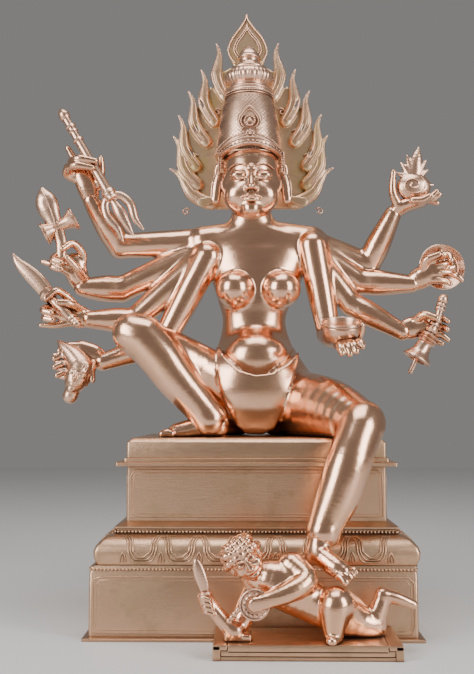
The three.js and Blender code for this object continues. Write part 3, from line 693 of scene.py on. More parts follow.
def feet():
    right = Wax((-124, -96, 224), (-30, -48, 262), 1.1)
    right.add(strand([[-43, -70, 243, 14], [-66, -71, 239, 13], [-92, -73, 235, 9.5]], ((0, 0, 1), 0.95)), 2)
    right.add(strand([[-54, -71, 262, 19], [-50, -71, 248, 16], [-44, -70, 240, 13.5]]), 6)
    right.add(strand([[-84, -72, 235, 10], [-98, -74, 232.5, 8]], ((0, 1, 0), 1.25)), 5)
    toes(right, (-100, -84, 231), (-96, -62, 231), (-1, -0.12, 0), 4.2, -0.5)
    right.cut(SEAT_ROOM[0])
    left = Wax((48, -226, 72), (118, -148, 142), 1.1)
    left.add(strand([[78, -169, 128, 17], [75, -173, 114, 14], [71, -176, 102, 12.5]]), 0)
    left.add(strand([[70, -173, 101, 12], [78, -186, 98, 11.5], [90, -198, 90, 9.5]]), 4)
    left.add(strand([[88, -195, 91, 10], [97, -203, 86.5, 8]], ((0.6, 0.2, 0.5), 1.1)), 4)
    toes(left, (92, -208, 83), (108, -194, 88), (0.55, -0.55, -0.45), 3.9, -0.5)
    return right.shell(), left.shell()


FRONT, ABOVE = (0, 1, 0), (0, 0, 1)
# Each hand: its palm's path from the wrist, the way the palm is flat, and the fingers' paths
HANDS = {
    "trident": ([[-218, 4, 541, 10.5], [-222, 2, 560, 15], [-229, 0, 578, 15]], FRONT, [
        [[-231, -1, 582, 5.6], [-240, -7, 597, 5], [-248, -10, 611, 3.6]],
        [[-236, 0, 584, 5.6], [-242, -14, 591, 5.2], [-229, -26, 592, 5], [-208, -24, 589, 4]],
        [[-238, 0, 576, 5.6], [-247, -13, 581, 5.2], [-234, -26, 583, 5], [-212, -24, 580, 4]],
        [[-238, 0, 570, 5.2], [-250, -8, 575, 4.8], [-247, -18, 583, 4.2]],
        [[-209, 2, 562, 6.4], [-203, -6, 578, 5.2], [-203, -10, 597, 3.6]]]),
    "drum": ([[-227, 0, 423, 10.5], [-234, -2, 439, 15], [-239, -4, 455, 14.5]], FRONT, [
        [[-228, -1, 452, 5.8], [-227, -6, 468, 5.4], [-238, -16, 480, 5], [-250, -25, 471, 4]],
        [[-238, -5, 458, 5.4], [-256, -14, 464, 5.2], [-262, -26, 457, 4.6], [-250, -30, 452, 4]],
        [[-240, -6, 450, 5.4], [-260, -15, 453, 5], [-262, -27, 447, 4.4], [-250, -30, 443, 3.8]],
        [[-242, -6, 441, 5.2], [-262, -14, 451, 4.6], [-278, -14, 456, 3.3]],
        [[-224, -6, 436, 6.4], [-232, -20, 447, 5.4], [-243, -29, 459, 4]]]),
    "dagger": ([[-213, -13, 379, 10.5], [-230, -14, 383, 15], [-246, -16, 388, 14]], FRONT, [
        [[-230, -14, 392, 5.8], [-244, -20, 408, 5.4], [-256, -30, 415, 5], [-268, -36, 404, 4]],
        [[-250, -16, 392, 5.4], [-266, -22, 394, 5.2], [-272, -34, 389, 4.6], [-260, -40, 385, 4]],
        [[-250, -16, 384, 5.4], [-266, -23, 384, 5], [-270, -34, 379, 4.4], [-258, -39, 376, 3.8]],
        [[-238, -16, 375, 5.2], [-260, -19, 371, 4.4], [-278, -20, 371, 3]],
        [[-226, -18, 391, 6], [-238, -32, 398, 5], [-252, -38, 399, 4]]]),
    "head": ([[-194, -26, 323, 10.5], [-207, -28, 331, 14], [-222, -30, 337, 13]], FRONT, [
        [[-222, -30, 341, 5.4], [-236, -34, 343, 5], [-248, -40, 336, 4]],
        [[-222, -30, 334, 5.4], [-240, -36, 333, 5], [-254, -42, 326, 4]],
        [[-220, -30, 326, 5.4], [-238, -36, 322, 5], [-253, -44, 315, 4]],
        [[-218, -30, 320, 5], [-236, -36, 311, 4.6], [-250, -44, 304, 3.6]],
        [[-206, -30, 322, 6.2], [-206, -42, 312, 5.2], [-204, -48, 298, 4]]]),
    "fire": ([[188, 8, 521, 10.5], [201, 5, 532, 14], [222, 3, 539, 14]], ABOVE, [
        [[220, 6, 541, 5.6], [238, 6, 541, 5], [248, 4, 537, 3.4]],
        [[222, -4, 540, 5.6], [240, -6, 541, 5], [249, -8, 546, 3.4]],
        [[220, -12, 538, 5.2], [236, -15, 541, 4.6], [244, -17, 548, 3.2]],
        [[212, -16, 536, 5], [224, -20, 536, 4.4], [233, -22, 541, 3.2]],
        [[194, -2, 534, 6.6], [187, -6, 551, 5.4], [188, -8, 577, 3.4]]]),
    "shield": ([[210, 1, 427, 10.5], [224, -3, 435, 15], [238, -6, 443, 14.5]], FRONT, [
        [[230, -7, 451, 5.6], [244, -14, 461, 5.2], [256, -22, 462, 4.6], [258, -29, 454, 3.8]],
        [[238, -8, 447, 5.6], [256, -16, 451, 5.2], [262, -26, 446, 4.6], [254, -31, 443, 3.8]],
        [[240, -8, 439, 5.4], [258, -17, 440, 5], [266, -25, 434, 4.2], [272, -26, 428, 3.2]],
        [[238, -8, 431, 5.2], [252, -15, 429, 4.6], [258, -22, 424, 3.4]],
        [[224, -6, 442, 6.2], [228, -16, 456, 5.2], [244, -22, 463, 4]]]),
    "bell": ([[194, -13, 362, 10.5], [208, -14, 367, 14.5], [224, -15, 369, 14]], FRONT, [
        [[226, -15, 376, 5.4], [244, -16, 380, 4.8], [254, -22, 375, 3.4]],
        [[228, -15, 368, 5.4], [246, -17, 368, 4.8], [252, -26, 364, 3.6]],
        [[226, -15, 361, 5.2], [244, -18, 358, 4.6], [254, -20, 351, 3.2]],
        [[222, -15, 356, 5], [236, -18, 350, 4.4], [246, -22, 346, 3.2]],
        [[212, -17, 375, 6.4], [222, -27, 383, 5.4], [236, -34, 378, 4.2]]]),
    "cup": ([[112, -70, 346, 10.5], [113, -86, 340, 14.5], [115, -102, 338, 14]], ABOVE, [
        [[106, -103, 339, 5.2], [104, -117, 335, 5], [106, -124, 327, 3.8]],
        [[112, -105, 339, 5.4], [113, -120, 335, 5.2], [115, -127, 326, 4]],
        [[119, -105, 340, 5.2], [121, -119, 337, 5], [123, -125, 329, 3.8]],
        [[126, -101, 342, 5], [129, -113, 341, 4.6], [131, -119, 335, 3.6]],
        [[123, -82, 345, 6.2], [131, -94, 352, 5.2], [133, -101, 362, 3.8]]]),
}


def hand(palm, facing, fingers):
    points = np.vstack([path for path in [palm, *fingers]])[:, :3]
    wax = Wax(points.min(axis=0) - 18, points.max(axis=0) + 18, 1.35)
    wax.add(strand(palm, (facing, 0.62)))
    for path in fingers:
        wax.add(strand(path, per_span=4), 2.2)
    return wax.shell(1)


# Head

def paired(points):
    """The same points on both sides of the face, given for her left as distances from its middle."""
    for side in (-1, 1):
        yield [[MIDLINE + side * p[0], *p[1:]] for p in points]


def head():
    wax = Wax((-62, -56, 500), (60, 58, 630), 1.0)
    wax.add(egg((MIDLINE, 8, 582), (39, 42, 44)))
    wax.add(egg((MIDLINE, 0, 552), (35, 37, 41)), 12)
    wax.add(egg((MIDLINE, -27, 522), (11, 10, 9)), 12)
    for x, y, z, r in ((19, -15, 543, 17.5), (26, -6, 560, 14)):
        for [point] in paired([[x, y, z]]):
            wax.add(egg(point, (r, r, r)), 8)
    for [point] in paired([[16, -37, 568]]):
        wax.cut(egg(point, (11, 4.5, 6)), 7)
    for [point] in paired([[16.5, -28.5, 567]]):
        wax.add(egg(point, (11, 7.5, 7)), 1.5)
    for path in paired([[2.5, -36.5, 572, 1.6], [9, -37.5, 580, 1.5], [20, -33, 583, 1.4], [31, -22, 577, 1]]):
        wax.add(strand(path), 1.5)
    for path in paired([[5.5, -33, 563.5, 0.9], [16, -36.5, 561.5, 1.2], [27, -29, 563.5, 0.8]]):
        wax.add(strand(path), 0.8)
    for path in paired([[5.5, -34.5, 565, 0.8], [16, -37.4, 564, 0.9], [27.5, -29.5, 565, 0.8]]):
        wax.cut(strand(path), 0.5)
    nose = [[MIDLINE, -37, 577, 3], [MIDLINE, -41, 563, 3.4], [MIDLINE, -45.5, 549.5, 4.6]]
    wax.add(strand(nose), 4)
    for [point] in paired([[5.8, -40, 547.5]]):
        wax.add(egg(point, (4, 5, 3.6)), 2)
    for [point] in paired([[3.8, -44.5, 544.2]]):
        wax.cut(egg(point, (1.5, 2, 1.3)), 0.6)
    for path in paired([[0.5, -40.5, 538.6, 2.5], [5, -40, 538.8, 2.2], [12, -34.5, 536.6, 0.9]]):
        wax.add(strand(path), 1)
    for path in paired([[0.5, -39.5, 533.2, 3], [5, -38.6, 533.6, 2.5], [10.5, -34.5, 535.6, 1]]):
        wax.add(strand(path), 1)
    for path in paired([[0, -43, 536, 0.7], [6, -41.5, 536.2, 0.6], [13, -35, 535.8, 0.5]]):
        wax.cut(strand(path), 0.4)
    for path in paired([[8.5, -39.5, 536, 1.5], [8.8, -40, 532, 1.1], [9, -39.5, 528.5, 0.5]]):
        wax.add(strand(path), 0.3)
    # Ears with long lobes
    for path in paired([[38, 2, 590, 4], [45, 3, 588, 4], [47, 4, 577, 3.4], [43, 4, 570, 3], [39, 3, 574, 3]]):
        wax.add(strand(path), 1)
    for path in paired([[43, 2, 574, 6], [46, 1, 558, 6.5], [48, 0, 542, 6]]):
        wax.add(strand(path, ((0, 1, 0), 0.6)), 1)
    for path in paired([[49, 1, 576, 1.6], [52.5, 0, 562, 1.6], [53.5, -1, 545, 1.6]]):
        wax.add(strand(path), 0.5)
    # Hair drawn back over the skull to a knot at the nape
    for k in range(-5, 6):
        wax.add(strand([[MIDLINE + 6 * k, 34 - 0.5 * k * k, 606, 3.6], [MIDLINE + 6.6 * k, 46 - 0.62 * k * k, 580, 3.8],
                        [MIDLINE + 5 * k, 42 - 0.5 * k * k, 552, 3.4], [MIDLINE + 3 * k, 34, 532, 3]]), 1.2)
    return wax.shell(1)


# Crown and aureole

CROWN_X, CROWN_Y, CROWN_FOOT = -4.5, 16, 600
CROWN_PROFILE = [
    [0, 0], [41, 0], [43, 4], [43.2, 16], [42.3, 28], [40.5, 44], [38, 60], [35, 74], [32, 86],
    [31.6, 88], [33.6, 89], [34.4, 90.6], [33.4, 92.4], [31.6, 93], [33.2, 94], [33.6, 95.8], [31.5, 97.2],
    [28, 98.6], [26.8, 100.4], [28, 102.6], [31, 105.6], [33, 110], [33.4, 114], [32.2, 119], [29.4, 122.4],
    [26, 124.4], [24.6, 125.4], [25.6, 127], [24, 128.6], [20, 129.6], [19.6, 131.2], [17.6, 132.6],
    [14.4, 133.6], [13.4, 137], [13.6, 140.6], [16, 142], [16.4, 143.6], [14.4, 145], [14.6, 147], [12.6, 151],
    [8, 156.4], [3, 160.2], [0, 161.5],
]
LATTICE, GADROONS = 22, 34


def crown_relief(angle, height):
    """A diamond lattice on the cone, and gadroons round the bulb above it."""
    cone = (height > 6) & (height < 84)
    slope = LATTICE / 38
    lines = [np.abs(np.cos(0.5 * (LATTICE * 2 * angle + way * slope * 2 * height))) ** 10 for way in (-1, 1)]
    bulb = np.clip(1 - ((height - 113) / 11) ** 2, 0, 1)
    return 0.9 * cone * np.maximum(*lines) + 1.3 * bulb * np.abs(np.sin(GADROONS / 2 * angle))


def crown():
    profile = np.array(CROWN_PROFILE, float)
    run = np.concatenate([[0], np.cumsum(np.linalg.norm(np.diff(profile, axis=0), axis=1))])
    at = np.concatenate([[0], np.linspace(run[1], run[-1], 150)])
    fine = np.stack([np.interp(at, run, profile[:, k]) for k in (0, 1)], axis=1)
    foot, top = (CROWN_X, CROWN_Y, CROWN_FOOT), (CROWN_X, CROWN_Y, 800)
    shells = [turned(fine, foot, top, 176, crown_relief)]
    for height, radius, size in ((3, 44, 1.6), (8, 44.5, 1.1), (86, 33, 1.0)):
        a = np.linspace(0, 2 * math.pi, 96, endpoint=False)
        ring = np.stack([CROWN_X + radius * np.cos(a), CROWN_Y + radius * np.sin(a), CROWN_FOOT + height + 0 * a], 1)
        shells.append(tube(ring, size, 6, True))
        shells.append(beads(evenly(ring, 3.4, True) + [0, 0, 3], 1.3))
    return shells


def diadem(skin):
    """The band across the forehead, its rims, the crest above it and the strings that fall at the temples."""
    shells = []
    a = np.radians(np.linspace(-82, 82, 90))
    rise = 9 * np.cos(a) ** 2
    centre_x, centre_y = MIDLINE - 1, 8
    rows = []
    for out, up in ((40.5, 0), (44, 0.6), (44.6, 2), (43.8, 3), (43.8, 9), (44.6, 10), (44, 11.4), (40.5, 12)):
        rows.append(np.stack([centre_x + out * np.sin(a), centre_y - (out + 1) * np.cos(a),
                              597.5 + rise + up * (0.5 + 0.5 * np.cos(a))], 1))
    grid = np.array(rows)
    under = grid.copy()
    under[..., 0] = centre_x + (grid[..., 0] - centre_x) * 0.86
    under[..., 1] = centre_y + (grid[..., 1] - centre_y) * 0.86
    shells.append(sheet(grid, under))
    for row, size in ((2, 1.2), (5, 1.2)):
        shells.append(tube(grid[row], size, 6))
    shells.append(beads(evenly((grid[3] + grid[4]) / 2, 6), 1.7))
    crest = np.stack([CROWN_X + 45.5 * np.sin(a), CROWN_Y - 45.5 * np.cos(a), 604 + 17 * np.cos(a) ** 2], 1)
    shells.append(tube(crest, 2.0, 8))
    shells.append(beads(evenly(crest + [0, -1, 4], 3.6), 1.3))
    shells.append(flower((CROWN_X + 1.5, -34, 622), (0, -1, 0.1), 7, 8))
    for side in (-1, 1):
        for strand_x, length in ((43, 34), (40, 26)):
            start = np.array([MIDLINE + side * strand_x, -6, 604])
            drop = np.stack([start + [side * 0.05 * s, -0.02 * s, -s] for s in np.arange(0, length, 3.2)])
            shells.append(beads(drop, 1.6))
    return shells


def flower(centre, facing, radius, petals, rise=0.5):
    """A small round flower: a domed eye inside a ring of petals."""
    centre, facing = np.array(centre, float), unit(facing)
    side = unit(np.cross(facing, [0, 0, 1] if abs(facing[2]) < 0.9 else [1, 0, 0]))
    other = np.cross(facing, side)
    a = 2 * math.pi * np.arange(petals) / petals
    ring = centre + 0.66 * radius * (side * np.cos(a)[:, None] + other * np.sin(a)[:, None])
    petal = 0.66 * radius * math.sin(math.pi / petals) * 1.05
    dome = [[0, -rise * radius], [radius * 0.8, -rise * radius], [radius * 0.8, 0], [0, 0]]
    return together([turned(dome, centre, centre + facing, 20), beads(ring, petal, 5, 8),
                     beads([centre + facing * 0.15 * radius], 0.36 * radius, 6, 10)])


def medallion():
    """The pointed arch on the crown's front, round a flower."""
    middle = np.array([CROWN_X + 1, -27.5, 642.0])
    arch = []
    for t in np.linspace(-1, 1, 41):
        a = t * math.radians(140)
        point = 5 * max(0, 1 - abs(t) * 3.2)
        arch.append(middle + [15 * math.sin(a), 0.1 * (15 * math.cos(a) + point), 15 * math.cos(a) + point])
    arch = np.array(arch)
    inner = middle + (arch - middle) * 0.78
    return [tube(arch, 1.7, 8), tube(inner, 0.9, 6), flower(middle, (0, -1, 0.12), 10, 12),
            turned([[0, -3], [13.5, -3], [13.5, 0], [0, 0]], middle + [0, 3, 0], middle + [0, -10, 1], 32)]


# Tips of the flames on her right side from the lowest up [x, z], and how far each leans out, in degrees
FLAMES = [(-117, 599, 30), (-112, 646, 7), (-105, 676, 0), (-91, 711, 0), (-73, 742, -5), (-51, 780, -10)]
BLADE = [[26, -74, 9], [15, -60, 9.5], [9, -47, 9], [8, -37, 7.6], [8, -27, 5.8], [7.5, -17, 4.1], [4.5, -8, 2.6],
         [0.4, -1, 0.9]]
PLATE_EDGE = [[-66, 541], [-92, 556], [-102, 590], [-100, 625], [-93, 650], [-82, 680], [-64, 712], [-46, 738],
              [-26, 748], [-33, 760], [-36, 772], [-31, 788], [-20, 803], [-11, 817]]
APEX = 825.5
AXIS_X, AXIS_LEAN, AXIS_FOOT = -1.5, 0.03, 600
PLATE_BACK = 58


def axis_at(z):
    return AXIS_X - AXIS_LEAN * (np.asarray(z, float) - AXIS_FOOT)


def other_side(points):
    """The same places on her left side, across the aureole's leaning axis. z is the last of x, z or x, y, z."""
    p = np.array(points, float)
    z = p[:, 1] if p.shape[1] == 2 else p[:, 2]
    p[:, 0] = 2 * axis_at(z) - p[:, 0]
    return p


def blade_path(flame, slide=0.0, y=50.0):
    """A flame's middle line as [x, y, z, half width], moved sideways by slide half widths."""
    x0, z0, lean = flame
    p = smooth(BLADE, 6)
    x, z, r = p.T
    a = math.radians(lean)
    x = x + slide * r
    return np.stack([x0 + x * math.cos(a) - z * math.sin(a), y + 0 * x, z0 + x * math.sin(a) + z * math.cos(a), r], 1)


def aureole():
    wax = Wax((-126, 38, 534), (122, 62, 830), 1.65)
    right = np.array(PLATE_EDGE, float)
    outline = np.vstack([right, [[axis_at(APEX), APEX]], other_side(right)[::-1]])
    wax.add(board(outline, 53, PLATE_BACK, 1.5))
    lines, holes = [], []
    for flame in FLAMES:
        for side in (lambda p: p, other_side):
            path = side(blade_path(flame))
            press = ((0, 1, 0), 0.5)
            wax.add(strand(path[::2], press, 1), 1)
            for slide, size in ((-0.72, 0.17), (-0.1, 0.1), (0.62, 0.13)):
                ridge = side(blade_path(flame, slide))
                lift = np.sqrt(np.maximum(1 - slide**2, 0.1)) * ridge[:, 3] * 0.5
                ridge[:, 1] -= lift
                lines.append(tube(ridge[:, :3], np.maximum(ridge[:, 3] * size, 0.5), 6))
            curl = []
            for t in np.linspace(0, 1, 22):
                a = 0.6 + t * 7.5
                r = 5.6 * (1 - 0.8 * t)
                curl.append([flame[0] + 24 + r * math.cos(a), 51, flame[1] - 62 + r * math.sin(a)])
            lines.append(tube(side(np.array(curl)), 1.1, 6))
    for z in (620, 655, 690, 722):
        half = np.interp(z, [600, 700, 760], [92, 68, 34]) - 3
        holes.append((half, z))
    for half, z in holes:
        for sign in (-1, 1):
            wax.cut(egg((float(axis_at(z)) + sign * half, 56, z), (2.6, 20, 7), (0, sign * 22, 0)), 1)
    # The top leaf with its nested borders
    leaf = np.array([[-26, 750], [-33, 760], [-36, 772], [-31, 788], [-20, 803], [-11, 817]], float)
    leaf = np.vstack([leaf, [[axis_at(APEX), APEX]], other_side(leaf)[::-1]])
    heart = np.array([axis_at(776), 776.0])
    for shrink, size in ((0.93, 1.7), (0.66, 1.1), (0.56, 0.9)):
        edge = heart + (leaf - heart) * shrink
        path = smooth(np.stack([edge[:, 0], 52 + 0 * edge[:, 0], edge[:, 1]], 1), 5)
        lines.append(tube(path, size, 6))
    for part in ([[-70, 34, 548], [-40, 30, 556], [-20, 32, 570]],):
        for side in (lambda p: p, other_side):
            wax.add(strand([[*p, 9] for p in side(np.array(part, float))]), 4)
    wax.add(block((-24, 28, 545), (20, 56, 590)), 2)
    wax.add(block((-24, 28, 636), (14, 56, 690)), 2)
    return wax.shell(), lines


# What she holds

def ball_on_rod(points, rings, sides=16):
    """A rod with rings across it at the given shares of its length."""
    path = smooth(points, 8)
    shells = [tube(path[:, :3], path[:, 3], sides)]
    count = len(path) - 1
    for share, size in rings:
        k = share * count
        lo = min(int(k), count - 1)
        place = path[lo] + (path[lo + 1] - path[lo]) * (k - lo)
        way = unit(path[lo + 1, :3] - path[lo, :3])
        r = place[3]
        shells.append(turned([[0, -size], [r + size * 0.6, -size], [r + size, 0], [r + size * 0.6, size], [0, size]],
                             place[:3], place[:3] + way, 24))
    return shells


def trident():
    top, collar = np.array([-252, -16, 653.0]), np.array([-190, -16, 546.0])
    way = unit(collar - top)
    across = unit(np.cross([0, 1, 0], way))
    shells = ball_on_rod([[*top, 5.2], [*collar, 6.8]], [(0.03, 1.6), (0.14, 2), (0.2, 1.4), (0.31, 2), (0.98, 3.4)])
    shells.append(turned(rounded([[0, -11], [3.5, -9.5], [7, -4], [7.4, 0], [6, 4], [0, 6]]), top, top + way, 24))
    shells.append(turned(rounded([[0, -5], [8, -4], [9.6, 0], [8.4, 4], [9, 8], [0, 10]]), collar, collar + way, 24))
    wax = Wax((-216, -34, 474), (-128, 4, 566), 1.2)

    def spot(t, out, r):
        return [*(collar + way * t * 64 + across * out), r]

    for side in (-1, 1):
        wax.add(strand([spot(0.02, 0, 5), spot(0.14, side * 12, 5.6), spot(0.4, side * 17.5, 5.8),
                        spot(0.7, side * 13.5, 5), spot(1, side * 15.5, 1.4)], ((0, 1, 0), 0.8)), 1)
    wax.add(strand([spot(0, 0, 5), spot(0.2, 0, 5), spot(0.45, 0, 8), spot(0.75, 0, 5.4), spot(1.02, 0, 1)],
                   ((0, 1, 0), 0.75)), 1)
    shells.append(wax.shell(1))
    return shells


def drum():
    start, end = np.array([-277, -16, 492.0]), np.array([-236, -12, 515.0])
    body = rounded([[0, 0], [14, 0], [15, 1.5], [14.4, 4], [9, 13], [7, 20], [9, 34], [14.4, 43], [15, 45.5],
                    [14, 47], [0, 47]], 4)
    shells = [turned(body, start, end, 40)]
    way = unit(end - start)
    for at in (1.2, 4.2, 18, 23, 43, 46):
        r = float(np.interp(at, [0, 4, 13, 20, 34, 43, 47], [15, 14.6, 9, 7, 9, 14.6, 15]))
        a = np.linspace(0, 2 * math.pi, 40, endpoint=False)
        side = unit(np.cross(way, [0, 1, 0]))
        other = np.cross(way, side)
        ring = start + way * at + (r + 0.4) * (side * np.cos(a)[:, None] + other * np.sin(a)[:, None])
        shells.append(tube(ring, 1, 6, True))
    wax = Wax((-302, -34, 452), (-236, 8, 566), 1.2)
    wax.add(strand([[-281, -14, 556, 1.6], [-279, -14, 548, 7], [-274, -14, 534, 15], [-268, -14, 518, 12],
                    [-262, -14, 504, 10], [-254, -16, 484, 7.5], [-253, -18, 462, 6.5]], ((0, 1, 0), 0.6)))
    wax.cut(strand([[-279, -26, 546, 4], [-274, -27, 535, 9], [-269, -26, 522, 5]], ((0, 1, 0), 0.5)), 2)
    shells.append(wax.shell(1))
    shells.append(tube(smooth([[-281, -19, 553], [-272, -22, 536], [-262, -21, 508], [-255, -23, 484]], 8), 1, 6))
    return shells


def dagger():
    wax = Wax((-324, -40, 398), (-250, -8, 474), 1.0)
    line = [[-315.6, -22, 465, 1], [-308, -22, 453, 6], [-295, -22, 441, 9.6], [-281, -22, 427, 10.6],
            [-268, -22, 411, 9.6]]
    wax.add(strand(line, ((0, 1, 0), 0.34)))
    shells = [wax.shell(1)]
    for slide in (-0.7, 0.0, 0.7):
        p = smooth(line, 8)
        way = unit(np.gradient(p[:, :3], axis=0))
        across = np.cross(way, [0, 1, 0])
        ridge = p[:, :3] + across * p[:, 3:] * slide
        ridge[:, 1] -= p[:, 3] * 0.34 * math.sqrt(1 - slide**2) - 0.2
        shells.append(tube(ridge, 0.8, 6))
    grip = [[-270, -23, 412, 6.6], [-258, -28, 400, 5.8], [-246, -30, 389, 6.4], [-234, -30, 377, 5.2],
            [-227, -30, 370, 4.2]]
    shells += ball_on_rod(grip, [(0.02, 4.6), (0.12, 3), (0.7, 1.8), (0.8, 1.8), (0.9, 1.8)])
    tip = turned(rounded([[0, -4], [4, -2], [4.4, 0], [2, 3.6], [0, 6]]), (-227, -30, 370), (-219, -30, 361), 20)
    shells.append(tip)
    return shells


def bell():
    shells = ball_on_rod([[247, -24, 402, 4.6], [243, -24, 389, 5], [240, -24, 378, 4.4], [234, -24, 366, 5],
                          [226, -24, 352, 6.4]], [(0.12, 2.2), (0.22, 2), (0.55, 2.4), (0.66, 2), (0.8, 3.4)])
    shells.append(turned(rounded([[0, -7], [4, -6], [7, 0], [5, 5], [0, 6]]), (247.5, -24, 403), (244, -24, 395), 24))
    start, end = np.array([230, -24, 358.0]), np.array([211, -24, 325.0])
    body = rounded([[0, 0], [10, 0], [13.5, 2.6], [11, 5], [13.8, 7.6], [11.4, 10], [13.4, 12], [10, 14], [10.6, 20],
                    [12.4, 27], [17, 33], [19, 36], [18, 37.6], [14, 35], [0, 35]], 3)
    shells.append(turned(body, start, end, 44))
    shells.append(tube(smooth([[213, -24, 330], [208, -24, 318], [203, -24, 308]], 6), 3.3, 12))
    return shells


def shield():
    """A round shield seen from inside, with the bar that she grips."""
    centre, front = np.array([251, 10, 449.0]), np.array([255, -20, 452.0])
    bowl = rounded([[0, -4], [19, -1.5], [28, 6], [30.2, 8.5], [30.8, 10], [30, 11], [27, 8.6], [17, 2.4], [0, 0]], 4)
    shells = [turned(bowl, centre, front, 64)]
    way = unit(front - centre)
    side = unit(np.cross(way, [0, 0, 1]))
    other = np.cross(way, side)
    a = np.linspace(0, 2 * math.pi, 64, endpoint=False)
    for r, deep, size in ((30.2, 10, 1.2), (23, 5.6, 0.8)):
        ring = centre + way * deep + r * (side * np.cos(a)[:, None] + other * np.sin(a)[:, None])
        shells.append(tube(ring, size, 6, True))
    bar = [centre + way * d + other * r for r, d in ((-26, 5), (-18, 12), (0, 16), (16, 12), (25, 5))]
    shells.append(tube(smooth(bar, 6), 3, 10))
    return shells


def fire():
    """A flame in the open palm, with a spiral on its face."""
    wax = Wax((180, -24, 530), (256, 22, 620), 1.1)
    heart = np.array([216, 0, 558.0])
    wax.add(egg(heart, (23, 11, 19)))
    tips = [(224, 613, 6), (208, 602, 4.4), (199, 592, 4), (193, 578, 3.6), (234, 595, 4.4), (236, 582, 4), (243, 561, 4)]
    for x, z, r in tips:
        mid = (heart[[0, 2]] * 0.45 + np.array([x, z]) * 0.55) + [(heart[0] - x) * 0.12, 2]
        wax.add(strand([[*heart, 9], [mid[0], 0, mid[1], r * 1.5], [x, 0, z, 0.8]], ((0, 1, 0), 0.7)), 2)
    shells = [wax.shell(1)]
    spiral = []
    for t in np.linspace(0, 1, 60):
        a, r = 2.4 + t * 11, 2.5 + 15 * t
        spiral.append([heart[0] - 2 + r * math.cos(a), -12 + 0.012 * r * r, heart[2] + 1 + 0.8 * r * math.sin(a)])
    shells.append(tube(np.array(spiral), 1.3, 6))
    for x, z, r in tips:
        path = [[heart[0] + (x - heart[0]) * t, -9 + 8 * t, heart[2] + (z - heart[2]) * t] for t in (0.45, 0.7, 0.95)]
        shells.append(tube(smooth(path, 5), 0.8, 6))
    return shells


CUP_FOOT, CUP_TOP = (109, -86, 342), (109, -95.5, 369)


def cup():
    bowl = rounded([[0, 0], [9, 0.4], [17, 4], [22, 12], [23.4, 20], [24.4, 26], [24, 27.4], [22.6, 26.4], [21, 20],
                    [19.4, 12.6], [14, 6.4], [7, 4], [0, 3.5]], 4)
    shells = [turned(bowl, CUP_FOOT, CUP_TOP, 56)]
    foot, top = np.array(CUP_FOOT, float), np.array(CUP_TOP, float)
    way = unit(top - foot)
    side = unit(np.cross(way, [0, 1, 0]))
    other = np.cross(way, side)
    a = np.linspace(0, 2 * math.pi, 56, endpoint=False)
    for height, r in ((25.6, 24.6), (22, 24.2)):
        ring = foot + way * height + r * (side * np.cos(a)[:, None] + other * np.sin(a)[:, None])
        shells.append(tube(ring, 0.9, 6, True))
    return shells


def severed_head():
    """The small head that hangs by its hair from her lowest right hand, calm and plain."""
    wax = Wax((-276, -76, 262), (-186, -10, 362), 1.05)
    middle = np.array([-223, -46, 303.0])
    lean = turn_matrix((0, 20, 0))

    def at(x, y, z):
        return list(middle + lean @ np.array([x, y, z], float))

    wax.add(egg(at(0, 0, 4), (16, 16, 17), (0, 20, 0)))
    wax.add(egg(at(0, -2, -7), (13.5, 14, 15), (0, 20, 0)), 5)
    for side in (-1, 1):
        wax.cut(egg(at(side * 6.5, -16, 2), (4.4, 2, 2.6), (0, 20, 0)), 2.5)
        wax.add(egg(at(side * 6.6, -12.6, 1.6), (4.2, 3, 2.4), (0, 20, 0)), 0.8)
        wax.add(strand([[*at(side * 1.6, -15, 5), 0.8], [*at(side * 7, -15, 7.4), 0.8], [*at(side * 12, -10, 5), 0.6]]), 0.6)
        wax.add(egg(at(side * 14.5, 0, -2), (2.4, 4, 7), (0, 20, 0)), 1)
    wax.add(strand([[*at(0, -15, 5), 1.4], [*at(0, -18, -3.5), 2.4]]), 1.6)
    wax.add(strand([[*at(-5, -14, -9.4), 1], [*at(0, -16, -9), 1.5], [*at(5, -14, -9.4), 1]]), 0.8)
    wax.add(strand([[*at(-4, -14, -12), 1], [*at(0, -15.6, -12.4), 1.6], [*at(4, -14, -12), 1]]), 0.8)
    wax.add(egg(at(0, -11, -18), (5, 4, 4)), 3)
    wax.add(strand([[*at(0, 0, -12), 10], [*at(0, 0, -27), 9.6]]), 1)
    wax.add(strand([[-220, -42, 316, 16], [-232, -36, 330, 13], [-244, -34, 341, 7], [-252, -32, 349, 1.6]]), 3)
    for k in range(4):
        x, z = -247 + 2.2 * k, 330 - 9.4 * k
        wax.add(strand([[x + 14, -38, z - 2, 5], [x, -40, z, 3.6], [x - 7, -40, z + 1, 2.8]]), 1)
    for k in range(5):
        way = -0.5 + 0.3 * k
        wax.add(strand([[*at(way * 13, -14.5 + 5 * abs(way), 9), 1.5], [*at(way * 10, -8, 20), 1.6],
                        [-236, -36, 332, 1.5]]), 0.6)
    return [wax.shell(1)]


# Pedestal

LOWER_X, LOWER_Y, UPPER_X, UPPER_Y, UPPER_SHIFT = 186.5, 150, 153, 118, 4
CUSHION = [[83.5, 30], [86, 31.2], [92, 33.2], [98, 33.6], [104, 31.6], [109, 27.6], [113, 22.6], [115.5, 15]]
PETAL_PITCH, PETAL_HALF = 43.5, 17.5


def rectangle_ring(half_x, half_y, shift_x, z, corner=3.0, per_corner=6, spacing=6.0):
    """Points round an upright block's outline with rounded corners, anticlockwise from its front right corner."""
    out = []
    for k, (sx, sy) in enumerate(((1, -1), (1, 1), (-1, 1), (-1, -1))):
        for t in np.linspace(0, 1, per_corner):
            a = math.radians(-90 + 90 * k + 90 * t)
            out.append([shift_x + sx * (half_x - corner) + corner * math.cos(a),
                        sy * (half_y - corner) + corner * math.sin(a), z])
    out = np.array(out)
    return evenly(np.vstack([out]), spacing, True) if spacing else out


